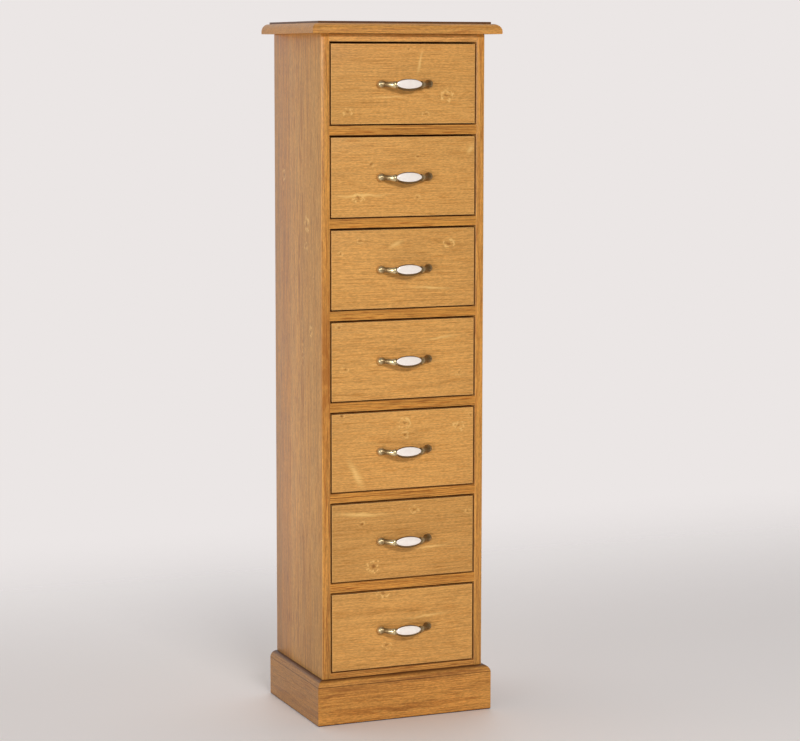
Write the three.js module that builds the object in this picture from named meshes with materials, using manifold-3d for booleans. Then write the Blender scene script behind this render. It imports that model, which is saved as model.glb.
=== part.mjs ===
// Semainier: a tall narrow chest with a drawer for each day, in stained pine,
// with brass bow handles that hold oval ceramic inserts.
// Millimetres, +Z up, the drawers open towards -Y, and the origin lies on the floor
// under the middle of the whole piece, handles included.
import * as THREE from 'three';
import { mergeVertices } from 'three/addons/utils/BufferGeometryUtils.js';
import Module from 'manifold-3d';

const wasm = await Module();
wasm.setup();

// Whole piece
const overall_height = 1400;
const slab_width = 402;
const slab_depth = 300;
const drawer_count = 7;

// Top slab: a bottom easing, a short upright band, an ovolo, then a fillet under the top face
const slab_thickness = 24;
const slab_overhang = 27;
const slab_easing = 1;
const slab_band_height = 4;
const ovolo_radius = 15;
const ovolo_quirk = 2.5;

// Carcass
const side_thickness = 18;
const back_thickness = 6;
const top_rail_height = 16;
const rail_height = 20;
const rail_depth = 40;
const base_rail_top = 104;
const base_rail_height = 50;
const base_rail_thickness = 22;
const dust_panel_thickness = 10;
const base_board_thickness = 12;

// Plinth, planted on the outside of the carcass and mitred at the two front corners
const plinth_height = 92;
const plinth_thickness = 15;
const plinth_round = 14;
const mitre_gap = 0.3;
const glue_block_size = 30;

// Drawers
const front_thickness = 18;
const front_side_gap = 2;
const front_top_gap = 3;
const front_bottom_gap = 1.5;
const front_easing = 1.5;
const box_side_gap = 3;
const box_headroom = 30;
const box_back_gap = 12;
const box_board = 10;
const box_tongue = 4;
const runner_play = 0.3;
const bottom_thickness = 4;
const bottom_lift = 8;
const groove_depth = 5;
const groove_play = 0.3;

// Handles
const handle_centres = 102;
const handle_projection = 32;
const foot_rise = 6;
const foot_radius = 8;
const neck_radius = 4.2;
const cup_length = 56;
const cup_height = 21;
const cup_depth = 8;
const cup_rim = 1.2;
const cup_floor = 1;
const pocket_depth = 2;
const insert_crown = 2.5;
const insert_edge = 0.8;
const insert_play = 0.3;
const cut_overrun = 5;

// How finely the round shapes are divided
const round_steps = 5;
const foot_sides = 14;
const foot_rings = 8;
const bar_sides = 10;
const bar_steps = 14;
const cup_sides = 24;
const bowl_steps = 4;
const crown_steps = 3;

// The bow of a handle from its middle to a foot: distance out along the half length,
// and rise, each as a share of the way
const bow_shares = [
  { out: 0, rise: 1 },
  { out: 0.3, rise: 1 },
  { out: 0.55, rise: 0.9 },
  { out: 0.78, rise: 0.48 },
  { out: 1, rise: 0 },
];
// The bar's size against the neck's radius, from the middle of the bow to a foot
const bar_shares = [
  { out: 0, thick: 0.7, high: 1.3 },
  { out: 0.4, thick: 0.8, high: 1.3 },
  { out: 0.55, thick: 1, high: 1.25 },
  { out: 0.75, thick: 1, high: 1 },
  { out: 1, thick: 1.1, high: 1.2 },
];

// Places that follow from the sizes above
const body_width = slab_width - 2 * slab_overhang;
const body_depth = slab_depth - slab_overhang;
const body_height = overall_height - slab_thickness;
const half_body = body_width / 2;
const half_opening = half_body - side_thickness;
const inner_depth = body_depth - back_thickness;
const top_rail_bottom = body_height - top_rail_height;
const rails_between = drawer_count - 1;
const opening_height = (top_rail_bottom - base_rail_top - rails_between * rail_height) / drawer_count;
const drawer_pitch = opening_height + rail_height;
const front_height = opening_height - front_top_gap - front_bottom_gap;
const half_front = half_opening - front_side_gap;
const half_box = half_opening - box_side_gap;
const box_depth = inner_depth - box_back_gap;
const box_height = opening_height - box_headroom;
const base_rail_bottom = base_rail_top - base_rail_height;

const stained_front = new THREE.MeshStandardMaterial({ color: 0xc8924e, roughness: 0.45, metalness: 0 });
const stained_carcass = new THREE.MeshStandardMaterial({ color: 0xc48743, roughness: 0.45, metalness: 0 });
const plain_pine = new THREE.MeshStandardMaterial({ color: 0xdcc08f, roughness: 0.7, metalness: 0 });
const plywood = new THREE.MeshStandardMaterial({ color: 0xc9a877, roughness: 0.75, metalness: 0 });
const aged_brass = new THREE.MeshStandardMaterial({ color: 0x7a6035, roughness: 0.35, metalness: 1 });
const white_ceramic = new THREE.MeshStandardMaterial({ color: 0xf0e8e6, roughness: 0.15, metalness: 0 });

// A block between two values on each axis. Each corner takes the values themselves, so that
// blocks that share a value meet exactly.
function block([x0, x1], [y0, y1], [z0, z1]) {
  const geometry = new THREE.BoxGeometry(1, 1, 1);
  const places = geometry.getAttribute('position');
  for (let index = 0; index < places.count; index += 1) {
    const x = places.getX(index) > 0 ? x1 : x0;
    const y = places.getY(index) > 0 ? y1 : y0;
    const z = places.getZ(index) > 0 ? z1 : z0;
    places.setXYZ(index, x, y, z);
  }
  return geometry;
}

// A board lying flat with its front edge at y = 0, whose edges follow a profile of insets and rises:
// a unit box whose slices take the rows of the profile. The back edge stays square unless it is
// moulded too.
function mouldedBoard(width, depth, profile, moulds_back) {
  const slices = profile.length - 1;
  const geometry = new THREE.BoxGeometry(1, 1, 1, 1, 1, slices);
  const places = geometry.getAttribute('position');
  for (let index = 0; index < places.count; index += 1) {
    const { inset, rise } = profile[Math.round((places.getZ(index) + 1 / 2) * slices)];
    const side = width / 2 - inset;
    const back = moulds_back ? depth - inset : depth;
    const x = places.getX(index) > 0 ? side : -side;
    const y = places.getY(index) > 0 ? back : inset;
    places.setXYZ(index, x, y, rise);
  }
  return geometry;
}

// Insets and rises of a convex quarter round that starts upright and ends level
function quarterRound(radius, start_rise) {
  const profile = [];
  for (let step = 0; step <= round_steps; step += 1) {
    const turn = (Math.PI / 2) * (step / round_steps);
    profile.push({ inset: radius * (1 - Math.cos(turn)), rise: start_rise + radius * Math.sin(turn) });
  }
  return profile;
}

// A closed geometry as a solid for cutting and joining, and back.
function solid(geometry) {
  const bare = geometry.clone();
  bare.deleteAttribute('normal');
  bare.deleteAttribute('uv');
  const merged = mergeVertices(bare);
  const vertProperties = merged.getAttribute('position').array;
  const triVerts = new Uint32Array(merged.getIndex().array);
  return new wasm.Manifold(new wasm.Mesh({ numProp: 3, vertProperties, triVerts }));
}

function geometryOf(made) {
  const mesh = made.getMesh();
  const geometry = new THREE.BufferGeometry();
  geometry.setAttribute('position', new THREE.Float32BufferAttribute(mesh.vertProperties, 3));
  geometry.setIndex(new THREE.Uint32BufferAttribute(mesh.triVerts, 1));
  return geometry;
}

function piece(name, geometry, material) {
  const mesh = new THREE.Mesh(geometry, material);
  mesh.name = name;
  return mesh;
}

// Top slab, moulded along its front and both ends
function slabProfile() {
  const ovolo_start = slab_easing + slab_band_height;
  const fillet_inset = ovolo_radius + ovolo_quirk;
  return [
    { inset: slab_easing, rise: 0 },
    { inset: 0, rise: slab_easing },
    ...quarterRound(ovolo_radius, ovolo_start),
    { inset: fillet_inset, rise: ovolo_start + ovolo_radius },
    { inset: fillet_inset, rise: slab_thickness },
  ];
}

function topSlab() {
  const geometry = mouldedBoard(slab_width, slab_depth, slabProfile(), false);
  const slab = piece('top_slab', geometry, stained_carcass);
  slab.position.set(0, -slab_overhang, body_height);
  return slab;
}

// Carcass boards, all butted between the two side panels
function carcassBoards() {
  const across = [-half_opening, half_opening];
  const behind_rail = [rail_depth, inner_depth];
  const back = block(across, [inner_depth, body_depth], [base_rail_top - base_board_thickness, body_height]);
  const base_rail = block(across, [0, base_rail_thickness], [base_rail_bottom, base_rail_top]);
  const base_board = block(
    across,
    [base_rail_thickness, inner_depth],
    [base_rail_top - base_board_thickness, base_rail_top],
  );
  const left_panel = block([-half_body, -half_opening], [0, body_depth], [0, body_height]);
  const right_panel = block([half_opening, half_body], [0, body_depth], [0, body_height]);
  const boards = [
    piece('side_panel_left', left_panel, stained_carcass),
    piece('side_panel_right', right_panel, stained_carcass),
    piece('back_panel', back, plywood),
    piece('top_rail', block(across, [0, rail_depth], [top_rail_bottom, body_height]), stained_carcass),
    piece('base_rail', base_rail, stained_carcass),
    piece('base_board', base_board, plywood),
  ];
  for (let number = 1; number <= rails_between; number += 1) {
    const top = top_rail_bottom - number * drawer_pitch + rail_height;
    const rail = block(across, [0, rail_depth], [top - rail_height, top]);
    const panel = block(across, behind_rail, [top - dust_panel_thickness, top]);
    boards.push(piece(`divider_rail_${number}`, rail, stained_carcass));
    boards.push(piece(`dust_panel_${number}`, panel, plywood));
  }
  return boards;
}

// Plinth boards. The section stands proud of the carcass, its top edge worked to a quarter round
// that leaves a narrow flat against the carcass.
function plinthSection() {
  const section = new THREE.Shape();
  section.moveTo(0, 0);
  section.lineTo(plinth_thickness, 0);
  for (const { inset, rise } of quarterRound(plinth_round, plinth_height - plinth_round)) {
    section.lineTo(plinth_thickness - inset, rise);
  }
  section.lineTo(0, plinth_height);
  section.closePath();
  return section;
}

// A length of plinth along +Z with its section in X and Y. A mitred end runs on as far as each
// point stands proud.
function plinthLength(length, mitres_start, mitres_end) {
  const geometry = new THREE.ExtrudeGeometry(plinthSection(), { depth: length, bevelEnabled: false });
  const places = geometry.getAttribute('position');
  for (let index = 0; index < places.count; index += 1) {
    const at_end = places.getZ(index) > length / 2;
    const proud = places.getX(index);
    if (at_end && mitres_end) places.setZ(index, places.getZ(index) + proud);
    if (!at_end && mitres_start) places.setZ(index, places.getZ(index) - proud);
  }
  return geometry;
}

// Turns a length of plinth so that its section stands up and its proud side faces a way on the floor.
function standPlinth(geometry, proud_way, start) {
  const up = new THREE.Vector3(0, 0, 1);
  const along_way = new THREE.Vector3().crossVectors(proud_way, up);
  const turn = new THREE.Matrix4().makeBasis(proud_way, up, along_way);
  turn.setPosition(start);
  geometry.applyMatrix4(turn);
  return geometry;
}

function plinthBoards() {
  const forward = new THREE.Vector3(0, -1, 0);
  const left = new THREE.Vector3(-1, 0, 0);
  const right = new THREE.Vector3(1, 0, 0);
  const side_length = body_depth - mitre_gap;
  const front_start = new THREE.Vector3(half_body, 0, 0);
  const left_start = new THREE.Vector3(-half_body, mitre_gap, 0);
  const right_start = new THREE.Vector3(half_body, body_depth, 0);
  const front = standPlinth(plinthLength(body_width, true, true), forward, front_start);
  const left_side = standPlinth(plinthLength(side_length, true, false), left, left_start);
  const right_side = standPlinth(plinthLength(side_length, false, true), right, right_start);
  return [
    piece('plinth_front', front, stained_carcass),
    piece('plinth_left', left_side, stained_carcass),
    piece('plinth_right', right_side, stained_carcass),
  ];
}

// Blocks glued in the two corners behind the front plinth
function glueBlocks() {
  const blocks = [];
  const near = half_opening - glue_block_size;
  for (const [side, across] of [['left', [-half_opening, -near]], ['right', [near, half_opening]]]) {
    const geometry = block(across, [0, glue_block_size], [0, base_rail_bottom]);
    blocks.push(piece(`glue_block_${side}`, geometry, plain_pine));
  }
  return blocks;
}

// Drawer front, eased round its show face
function drawerFront() {
  const profile = [
    { inset: 0, rise: 0 },
    { inset: 0, rise: front_thickness - front_easing },
    { inset: front_easing, rise: front_thickness },
  ];
  const geometry = mouldedBoard(2 * half_front, front_height, profile, true);
  geometry.rotateX(Math.PI / 2);
  geometry.translate(0, front_thickness, front_bottom_gap);
  return geometry;
}

// Drawer box: two sides and a back tongued into them, with a groove in each side for the bottom,
// which runs on under the back
function drawerBox() {
  const inside = half_box - box_board;
  const low = runner_play;
  const high = runner_play + box_height;
  const groove_low = low + bottom_lift - groove_play;
  const groove_high = low + bottom_lift + bottom_thickness + groove_play;
  const along = [front_thickness, box_depth];
  const groove_along = [front_thickness - cut_overrun, box_depth + cut_overrun];
  const tongue = inside + box_tongue;
  const back_low = low + bottom_lift;
  const back = block([-tongue, tongue], [box_depth - box_board, box_depth], [back_low, high]);
  const left = block([-half_box, -inside], along, [low, high]);
  const right = block([inside, half_box], along, [low, high]);
  const grooves = inside + groove_depth + groove_play;
  const groove = block([-grooves, grooves], groove_along, [groove_low, groove_high]);
  return geometryOf(solid(left).add(solid(right)).add(solid(back)).subtract(solid(groove)));
}

function drawerBottom() {
  const reach = half_box - box_board + groove_depth;
  const low = runner_play + bottom_lift;
  return block([-reach, reach], [front_thickness, box_depth], [low, low + bottom_thickness]);
}

// Reads a table of shares at a place between its rows.
function between(table, out, key) {
  const after = table.findIndex((row) => row.out >= out);
  if (after <= 0) return table[Math.max(after, 0)][key];
  const low = table[after - 1];
  const high = table[after];
  const way = (out - low.out) / (high.out - low.out);
  return low[key] + way * (high[key] - low[key]);
}

// The bowed bar: a unit cylinder whose rings are laid along the bow, from foot to foot
function handleBar() {
  const half_length = handle_centres / 2;
  const crest = handle_projection - insert_crown - cup_depth / 2;
  const along_bow = (row, way) => {
    const rise = foot_rise + row.rise * (crest - foot_rise);
    return new THREE.Vector3(way * row.out * half_length, -rise, 0);
  };
  const one_side = bow_shares.slice(1).map((row) => along_bow(row, 1));
  const other_side = bow_shares.slice(1).map((row) => along_bow(row, -1)).reverse();
  const bow = new THREE.CatmullRomCurve3([...other_side, along_bow(bow_shares[0], 1), ...one_side]);
  const geometry = new THREE.CylinderGeometry(1, 1, 1, bar_sides, bar_steps);
  const places = geometry.getAttribute('position');
  for (let index = 0; index < places.count; index += 1) {
    const way = places.getY(index) + 1 / 2;
    const centre = bow.getPoint(way);
    const tangent = bow.getTangent(way);
    const out = Math.min(Math.abs(centre.x) / half_length, 1);
    const thick = places.getX(index) * neck_radius * between(bar_shares, out, 'thick');
    const high = places.getZ(index) * neck_radius * between(bar_shares, out, 'high');
    places.setXYZ(index, centre.x + tangent.y * thick, centre.y - tangent.x * thick, high);
  }
  return geometry;
}

// The cup that holds the insert: an oval bowl, upright as deep as its pocket and the floor behind it
function cupBowl() {
  const wall = pocket_depth + cup_floor;
  const bowl = cup_depth - wall;
  const outline = [new THREE.Vector2(0, 0), new THREE.Vector2(1, 0)];
  for (let step = 0; step <= bowl_steps; step += 1) {
    const turn = (Math.PI / 2) * (step / bowl_steps);
    outline.push(new THREE.Vector2(Math.cos(turn), wall + bowl * Math.sin(turn)));
  }
  outline[outline.length - 1].x = 0;
  const geometry = new THREE.LatheGeometry(outline, cup_sides);
  geometry.scale(cup_length / 2, 1, cup_height / 2);
  geometry.translate(0, -(handle_projection - insert_crown), 0);
  return geometry;
}

function handle() {
  const rim_plane = -(handle_projection - insert_crown);
  const half_length = handle_centres / 2;
  const far = handle_centres;
  let made = solid(handleBar()).add(solid(cupBowl()));
  for (const way of [-1, 1]) {
    const foot = new THREE.SphereGeometry(foot_radius, foot_sides, foot_rings);
    foot.translate(way * half_length, -foot_rise, 0);
    made = made.add(solid(foot));
  }
  const behind = block([-far, far], [0, far], [-far, far]);
  made = made.subtract(solid(behind));
  const pocket = new THREE.CylinderGeometry(1, 1, pocket_depth + cut_overrun, cup_sides);
  pocket.scale(cup_length / 2 - cup_rim, 1, cup_height / 2 - cup_rim);
  pocket.translate(0, rim_plane + pocket_depth - (pocket_depth + cut_overrun) / 2, 0);
  made = made.subtract(solid(pocket));
  return geometryOf(made);
}

// Oval ceramic insert: a flat-backed plate with a crowned face
function handleInsert() {
  const edge_height = pocket_depth - insert_play;
  const crown_start = edge_height + insert_edge;
  const crown = insert_crown - insert_edge;
  const outline = [new THREE.Vector2(0, 0), new THREE.Vector2(1, 0)];
  for (let step = 0; step <= crown_steps; step += 1) {
    const turn = (Math.PI / 2) * (step / crown_steps);
    outline.push(new THREE.Vector2(Math.cos(turn), crown_start + crown * Math.sin(turn)));
  }
  outline[outline.length - 1].x = 0;
  const geometry = new THREE.LatheGeometry(outline, cup_sides);
  const inset = cup_rim + insert_play;
  geometry.scale(cup_length / 2 - inset, 1, cup_height / 2 - inset);
  geometry.rotateX(Math.PI);
  geometry.translate(0, -(handle_projection - insert_crown - edge_height), 0);
  return geometry;
}

// One drawer in its own group, which stands on the top of the rail below it
function drawer(number) {
  const group = new THREE.Group();
  const pull = piece(`handle_${number}`, handle(), aged_brass);
  const insert = piece(`handle_insert_${number}`, handleInsert(), white_ceramic);
  const pull_height = front_bottom_gap + front_height / 2;
  pull.position.set(0, 0, pull_height);
  insert.position.set(0, 0, pull_height);
  group.add(piece(`drawer_front_${number}`, drawerFront(), stained_front));
  group.add(piece(`drawer_box_${number}`, drawerBox(), plain_pine));
  group.add(piece(`drawer_bottom_${number}`, drawerBottom(), plywood));
  group.add(pull, insert);
  group.position.set(0, 0, top_rail_bottom - number * drawer_pitch + rail_height);
  return group;
}

const semainier = new THREE.Group();
semainier.add(topSlab(), ...carcassBoards(), ...plinthBoards(), ...glueBlocks());
for (let number = 1; number <= drawer_count; number += 1) {
  semainier.add(drawer(number));
}
semainier.position.y = -(body_depth - handle_projection) / 2;

export default semainier;
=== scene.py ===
# %% [markdown]
# # A semainier in stained pine
# A semainier is a tall narrow chest with a drawer for each day of the week. This one is pine under
# a honey stain and a satin varnish, with cast brass handles that hold white ceramic ovals.
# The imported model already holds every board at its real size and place, so nothing is measured
# again here. This lesson gives each board its eased edges, its grain and its finish, models the
# mouldings and the handles finely, and lights the chest as a small studio would.

# %% Load the frame
import math

import bmesh
import bpy
from mathutils import Color, Matrix, Vector


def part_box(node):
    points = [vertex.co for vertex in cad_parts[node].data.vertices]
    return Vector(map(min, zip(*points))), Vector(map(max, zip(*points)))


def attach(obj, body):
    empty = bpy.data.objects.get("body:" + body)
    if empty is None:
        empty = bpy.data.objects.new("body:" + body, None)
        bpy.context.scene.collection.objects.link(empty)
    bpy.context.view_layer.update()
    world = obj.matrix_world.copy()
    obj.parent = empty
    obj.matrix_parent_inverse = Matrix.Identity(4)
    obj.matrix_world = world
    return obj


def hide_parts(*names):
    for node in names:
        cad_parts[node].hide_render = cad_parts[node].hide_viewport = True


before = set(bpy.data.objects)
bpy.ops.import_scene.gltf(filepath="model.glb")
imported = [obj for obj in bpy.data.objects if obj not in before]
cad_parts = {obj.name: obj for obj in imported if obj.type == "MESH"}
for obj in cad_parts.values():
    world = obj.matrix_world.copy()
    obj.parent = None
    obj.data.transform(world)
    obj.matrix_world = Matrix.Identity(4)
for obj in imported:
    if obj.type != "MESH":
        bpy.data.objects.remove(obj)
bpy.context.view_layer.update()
scene = bpy.context.scene
scene.view_settings.view_transform = "Standard"
MM = 0.001
DAYS = range(1, 8)
UP = Vector((0, 0, 1))
RIGHT = Vector((1, 0, 0))
BACK = Vector((0, 1, 0))

# %% [markdown]
# ## The camera
# The photograph was taken from the left of the chest, from a little under the height of its top,
# with a long lens. A camera could be placed by eye, but the drawer gaps are straight lines at known
# heights, so the place, the turn and the lens were worked out from where those lines fall. The
# camera points along its own -Z, so it is stood up about X, turned about Z and rolled a trace.

# %% Camera
CAMERA_PLACE = Vector((-1.8692, -4.6493, 1.3323))
CAMERA_TURN = math.radians(-22.349)
CAMERA_DIP = math.radians(7.252)
CAMERA_ROLL = math.radians(0.079)
CAMERA_LENS = 111.17
SENSOR_WIDTH = 36

lens = bpy.data.cameras.new("camera")
lens.sensor_width = SENSOR_WIDTH
lens.lens = CAMERA_LENS
camera = bpy.data.objects.new("camera", lens)
scene.collection.objects.link(camera)
stand_up = Matrix.Rotation(math.pi / 2 - CAMERA_DIP, 4, "X")
turn_round = Matrix.Rotation(CAMERA_TURN, 4, "Z")
roll_over = Matrix.Rotation(CAMERA_ROLL, 4, "Z")
camera.matrix_world = Matrix.Translation(CAMERA_PLACE) @ turn_round @ stand_up @ roll_over
scene.camera = camera
print("camera stands", round(CAMERA_PLACE.length, 2), "m from the origin")

# %% [markdown]
# ## Writing shaders in short lines
# A shader is a graph of small nodes. Typed out in full, each node takes a line to make, one to set
# and one to link. These helpers make a node, set its properties and fill its sockets in one call: a
# socket that is given another node's output is linked, and one that is given a value holds it.

# %% Node helpers
FULL = 255


def srgb(red, green, blue):
    """A colour as a picture shows it, each part from 0 to 255, turned into linear light."""
    colour = Color((red / FULL, green / FULL, blue / FULL)).from_srgb_to_scene_linear()
    return (*colour, 1)


def fill(tree, node, sockets):
    """Links or fills some sockets of a node."""
    for name, value in sockets.items():
        if isinstance(value, bpy.types.NodeSocket):
            tree.links.new(value, node.inputs[name])
        else:
            node.inputs[name].default_value = value


def add_node(tree, kind, sockets=None, **settings):
    """Makes a node, sets its properties and fills its sockets."""
    made = tree.nodes.new(kind)
    for name, value in settings.items():
        setattr(made, name, value)
    fill(tree, made, sockets or {})
    return made


def new_material(name):
    """An empty material, with its node tree and its shader."""
    material = bpy.data.materials.new(name)
    material.use_nodes = True
    tree = material.node_tree
    return material, tree, tree.nodes["Principled BSDF"]


print("a mid grey of 128 is", round(srgb(128, 128, 128)[0], 3), "in linear light")

# %% [markdown]
# ## Sums and blends
# A pattern is arithmetic on places and colours, with one node for each step. Numbers have one kind
# of node, vectors and colours another, and a blend of two colours a third, whose sockets share
# their names and so are reached by number. A short name for each lets a pattern be read as a sum.

# %% Sums and blends
MIX_FACTOR = 0
MIX_FIRST = 6
MIX_SECOND = 7
MIX_RESULT = 2


def calc(tree, operation, *values):
    """One step of arithmetic on numbers."""
    sockets = dict(enumerate(values))
    return add_node(tree, "ShaderNodeMath", sockets, operation=operation).outputs[0]


def calc_vector(tree, operation, *values):
    """One step of arithmetic on vectors or colours."""
    sockets = dict(enumerate(values))
    return add_node(tree, "ShaderNodeVectorMath", sockets, operation=operation).outputs[0]


def measure(tree, operation, *values):
    """A number found from vectors, such as a length."""
    sockets = dict(enumerate(values))
    return add_node(tree, "ShaderNodeVectorMath", sockets, operation=operation).outputs["Value"]


def scale_vector(tree, vector, factor):
    """A vector or colour times a number."""
    sockets = {"Vector": vector, "Scale": factor}
    return add_node(tree, "ShaderNodeVectorMath", sockets, operation="SCALE").outputs[0]


def ramp(tree, value, low, high, to_low=0.0, to_high=1.0):
    """A value carried smoothly from one range to another, and held at the ends."""
    sockets = {"Value": value, "From Min": low, "From Max": high, "To Min": to_low, "To Max": to_high}
    made = add_node(tree, "ShaderNodeMapRange", sockets, interpolation_type="SMOOTHSTEP")
    return made.outputs[0]


def blend_colours(tree, share, first, second):
    """A colour between two others."""
    sockets = {MIX_FACTOR: share, MIX_FIRST: first, MIX_SECOND: second}
    return add_node(tree, "ShaderNodeMix", sockets, data_type="RGBA").outputs[MIX_RESULT]


def swing(tree, value, amount, middle=0.0):
    """A value from 0 to 1, turned into a swing of some amount about a middle."""
    return calc(tree, "MULTIPLY_ADD", value, amount, middle - amount / 2)


sum_helpers = (calc, calc_vector, measure, scale_vector, ramp, blend_colours, swing)
print("helpers for sums:", ", ".join(helper.__name__ for helper in sum_helpers))

# %% [markdown]
# ## Studio light
# In the photograph the overhang of the top casts a narrow band with a sharp lower edge, so one lamp
# stands high before the chest. Inside the band it is still half as bright, so a second lamp stands
# no higher than the top, far to the left, where it also lights the left side. The rest comes from
# the room, which is dim before the chest and bright behind it, where a white wall stands. The world
# gives that by direction. The camera itself sees a plain pale backdrop there, the same all round.

# %% Room
BACKDROP = srgb(235, 230, 229)
ROOM_TINT = srgb(252, 251, 253)
ROOM_BEFORE = 0.15
ROOM_BEHIND = 0.86
ROOM_TURN = (-0.5, 0.6)


def end_with_mix(tree, ending, share, first, second):
    """Ends a tree in a mix of two shaders."""
    sockets = {0: share, 1: first.outputs[0], 2: second.outputs[0]}
    mixed = add_node(tree, "ShaderNodeMixShader", sockets)
    fill(tree, tree.nodes[ending], {"Surface": mixed.outputs[0]})


world = bpy.data.worlds.new("studio")
scene.world = world
world.use_nodes = True
tree = world.node_tree
looking = add_node(tree, "ShaderNodeTexCoord").outputs["Generated"]
behind = add_node(tree, "ShaderNodeSeparateXYZ", {0: looking}).outputs["Y"]
strength = ramp(tree, behind, *ROOM_TURN, ROOM_BEFORE, ROOM_BEHIND)
room = add_node(tree, "ShaderNodeBackground", {"Color": ROOM_TINT, "Strength": strength})
plain = add_node(tree, "ShaderNodeBackground", {"Color": BACKDROP, "Strength": 1.0})
seen = add_node(tree, "ShaderNodeLightPath").outputs["Is Camera Ray"]
end_with_mix(tree, "World Output", seen, room, plain)
print("the room is", ROOM_BEFORE, "bright before the chest and", ROOM_BEHIND, "behind it")

# %% Lamps
HIGH_LAMP = {"azimuth": -5, "distance": 4.2, "height": 2.36, "aim_height": 0.8}
LEVEL_LAMP = {"azimuth": -56, "distance": 20.0, "height": 0.7, "aim_height": 0.75}


def soft_lamp(name, azimuth, distance, height, aim_height, size, power):
    """A rectangular lamp that faces the chest. Azimuth 0 is straight before it, and less is left."""
    lamp = bpy.data.lights.new(name, "AREA")
    lamp.shape = "RECTANGLE"
    lamp.size, lamp.size_y = size
    lamp.energy = power
    turn = math.radians(azimuth)
    holder = bpy.data.objects.new(name, lamp)
    scene.collection.objects.link(holder)
    holder.location = (math.sin(turn) * distance, -math.cos(turn) * distance, height)
    way = holder.location - Vector((0, 0, aim_height))
    holder.rotation_euler = way.to_track_quat("Z", "Y").to_euler()
    return holder


soft_lamp("high_lamp", **HIGH_LAMP, size=(1.6, 0.4), power=93)
soft_lamp("level_lamp", **LEVEL_LAMP, size=(7.3, 1.28), power=1350)

# %% [markdown]
# ## A floor without an edge
# A chest needs ground to throw its shadow on. A large plane would do, but its far edge would cut
# the picture in two. This floor is a disc that turns clear towards its rim, and sooner behind the
# chest than before it, so that it melts into the backdrop.

# %% Floor
FLOOR_RADIUS = 3.0
FLOOR_SIDES = 96
FLOOR_COLOUR = srgb(249, 243, 239)
FLOOR_ROUGHNESS = 0.6
FADE_ROUND = (1.5, 2.9)
FADE_BEHIND = (0.1, 2.0)
LEVEL = (1, 1, 0)


def object_place(tree):
    """A point's place on its own object, in metres. Nothing here is moved, so it is the chest's too."""
    return add_node(tree, "ShaderNodeTexCoord").outputs["Object"]


material, tree, shader = new_material("pale_floor")
fill(tree, shader, {"Base Color": FLOOR_COLOUR, "Roughness": FLOOR_ROUGHNESS})
place = object_place(tree)
reach = measure(tree, "LENGTH", calc_vector(tree, "MULTIPLY", place, LEVEL))
away = add_node(tree, "ShaderNodeSeparateXYZ", {0: place}).outputs["Y"]
round_fade = ramp(tree, reach, *FADE_ROUND)
back_fade = ramp(tree, away, *FADE_BEHIND)
fade = calc(tree, "MAXIMUM", round_fade, back_fade)
clear = add_node(tree, "ShaderNodeBsdfTransparent")
end_with_mix(tree, "Material Output", fade, shader, clear)

shape = bmesh.new()
bmesh.ops.create_circle(shape, cap_ends=True, segments=FLOOR_SIDES, radius=FLOOR_RADIUS)
mesh = bpy.data.meshes.new("floor")
shape.to_mesh(mesh)
shape.free()
mesh.materials.append(material)
floor = bpy.data.objects.new("floor", mesh)
scene.collection.objects.link(floor)
print("floor radius", FLOOR_RADIUS, "m")

# %% [markdown]
# ## The figure of pine
# A pine board is a slice through a stack of cones: each year adds a pale soft layer that ends in a
# thin dark one. Stripes painted along a board look like wallpaper, because they don't turn into
# arches on a wide face or into arcs on an end. So the rings are worked out in space: the distance
# from the tree's heart, which runs along the board, divided by the width of a ring. Slow noise
# moves the heart about along the tree, and that draws the arches. The whole figure is one node
# group, which every board reads at its own place. Place is in metres: along, across and deep. Lumps
# are how many a noise has in a metre, in the same three ways.

# %% Soft noise
def noise(tree, place, stretch, detail=2.0, roughness=0.5, output="Fac"):
    """Soft noise whose lumps per metre differ along the three ways of a board."""
    spread = calc_vector(tree, "MULTIPLY", place, stretch)
    sockets = {"Vector": spread, "Scale": 1.0, "Detail": detail, "Roughness": roughness}
    return add_node(tree, "ShaderNodeTexNoise", sockets).outputs[output]


def sway(tree, place, stretch, amount, detail=2.0, roughness=0.5):
    """Soft noise as a shift, which goes either way by up to half the amount."""
    lumps = noise(tree, place, stretch, detail, roughness, "Color")
    return calc_vector(tree, "MULTIPLY", calc_vector(tree, "SUBTRACT", lumps, (0.5, 0.5, 0.5)), amount)


print("helpers for noise:", noise.__name__, sway.__name__)

# %% Empty group
def new_group(name, inputs, outputs):
    """An empty node group with its sockets. Inputs that are vectors are named in capitals."""
    group = bpy.data.node_groups.new(name, "ShaderNodeTree")
    for socket in inputs:
        kind = "NodeSocketVector" if socket.isupper() else "NodeSocketFloat"
        group.interface.new_socket(socket, in_out="INPUT", socket_type=kind)
    for socket in outputs:
        group.interface.new_socket(socket, in_out="OUTPUT", socket_type="NodeSocketFloat")
    return group, add_node(group, "NodeGroupInput").outputs, add_node(group, "NodeGroupOutput")


print("helper for groups:", new_group.__name__)

# %% Figure group
SEED_STEP = (3.17, 1.73, 2.39)
RING_WIDTH = 3.4 * MM
DRIFT = (0, 20 * MM, 26 * MM)
DRIFT_LUMPS = (1.7, 5, 5)
WOBBLE = 1.6
WOBBLE_LUMPS = (9, 70, 70)
GROWING_SEASON = (0.3, 0.88)
ENDING_SEASON = (0.9, 1.0)
HARVEST_LUMPS = (3, 60, 60)
HARVEST = (0.35, 0.68, 0.15, 1.0)
FIBRE_LUMPS = (9, 560, 560)
FIBRE_RANGE = (0.3, 0.7)
FLECK_LUMPS = (130, 520, 520)
FLECK_RANGE = (0.25, 0.75)
DASH_LUMPS = (24, 500, 500)
DASH_RANGE = (0.58, 0.75)
CLOUD_LUMPS = (5, 16, 16)


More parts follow.
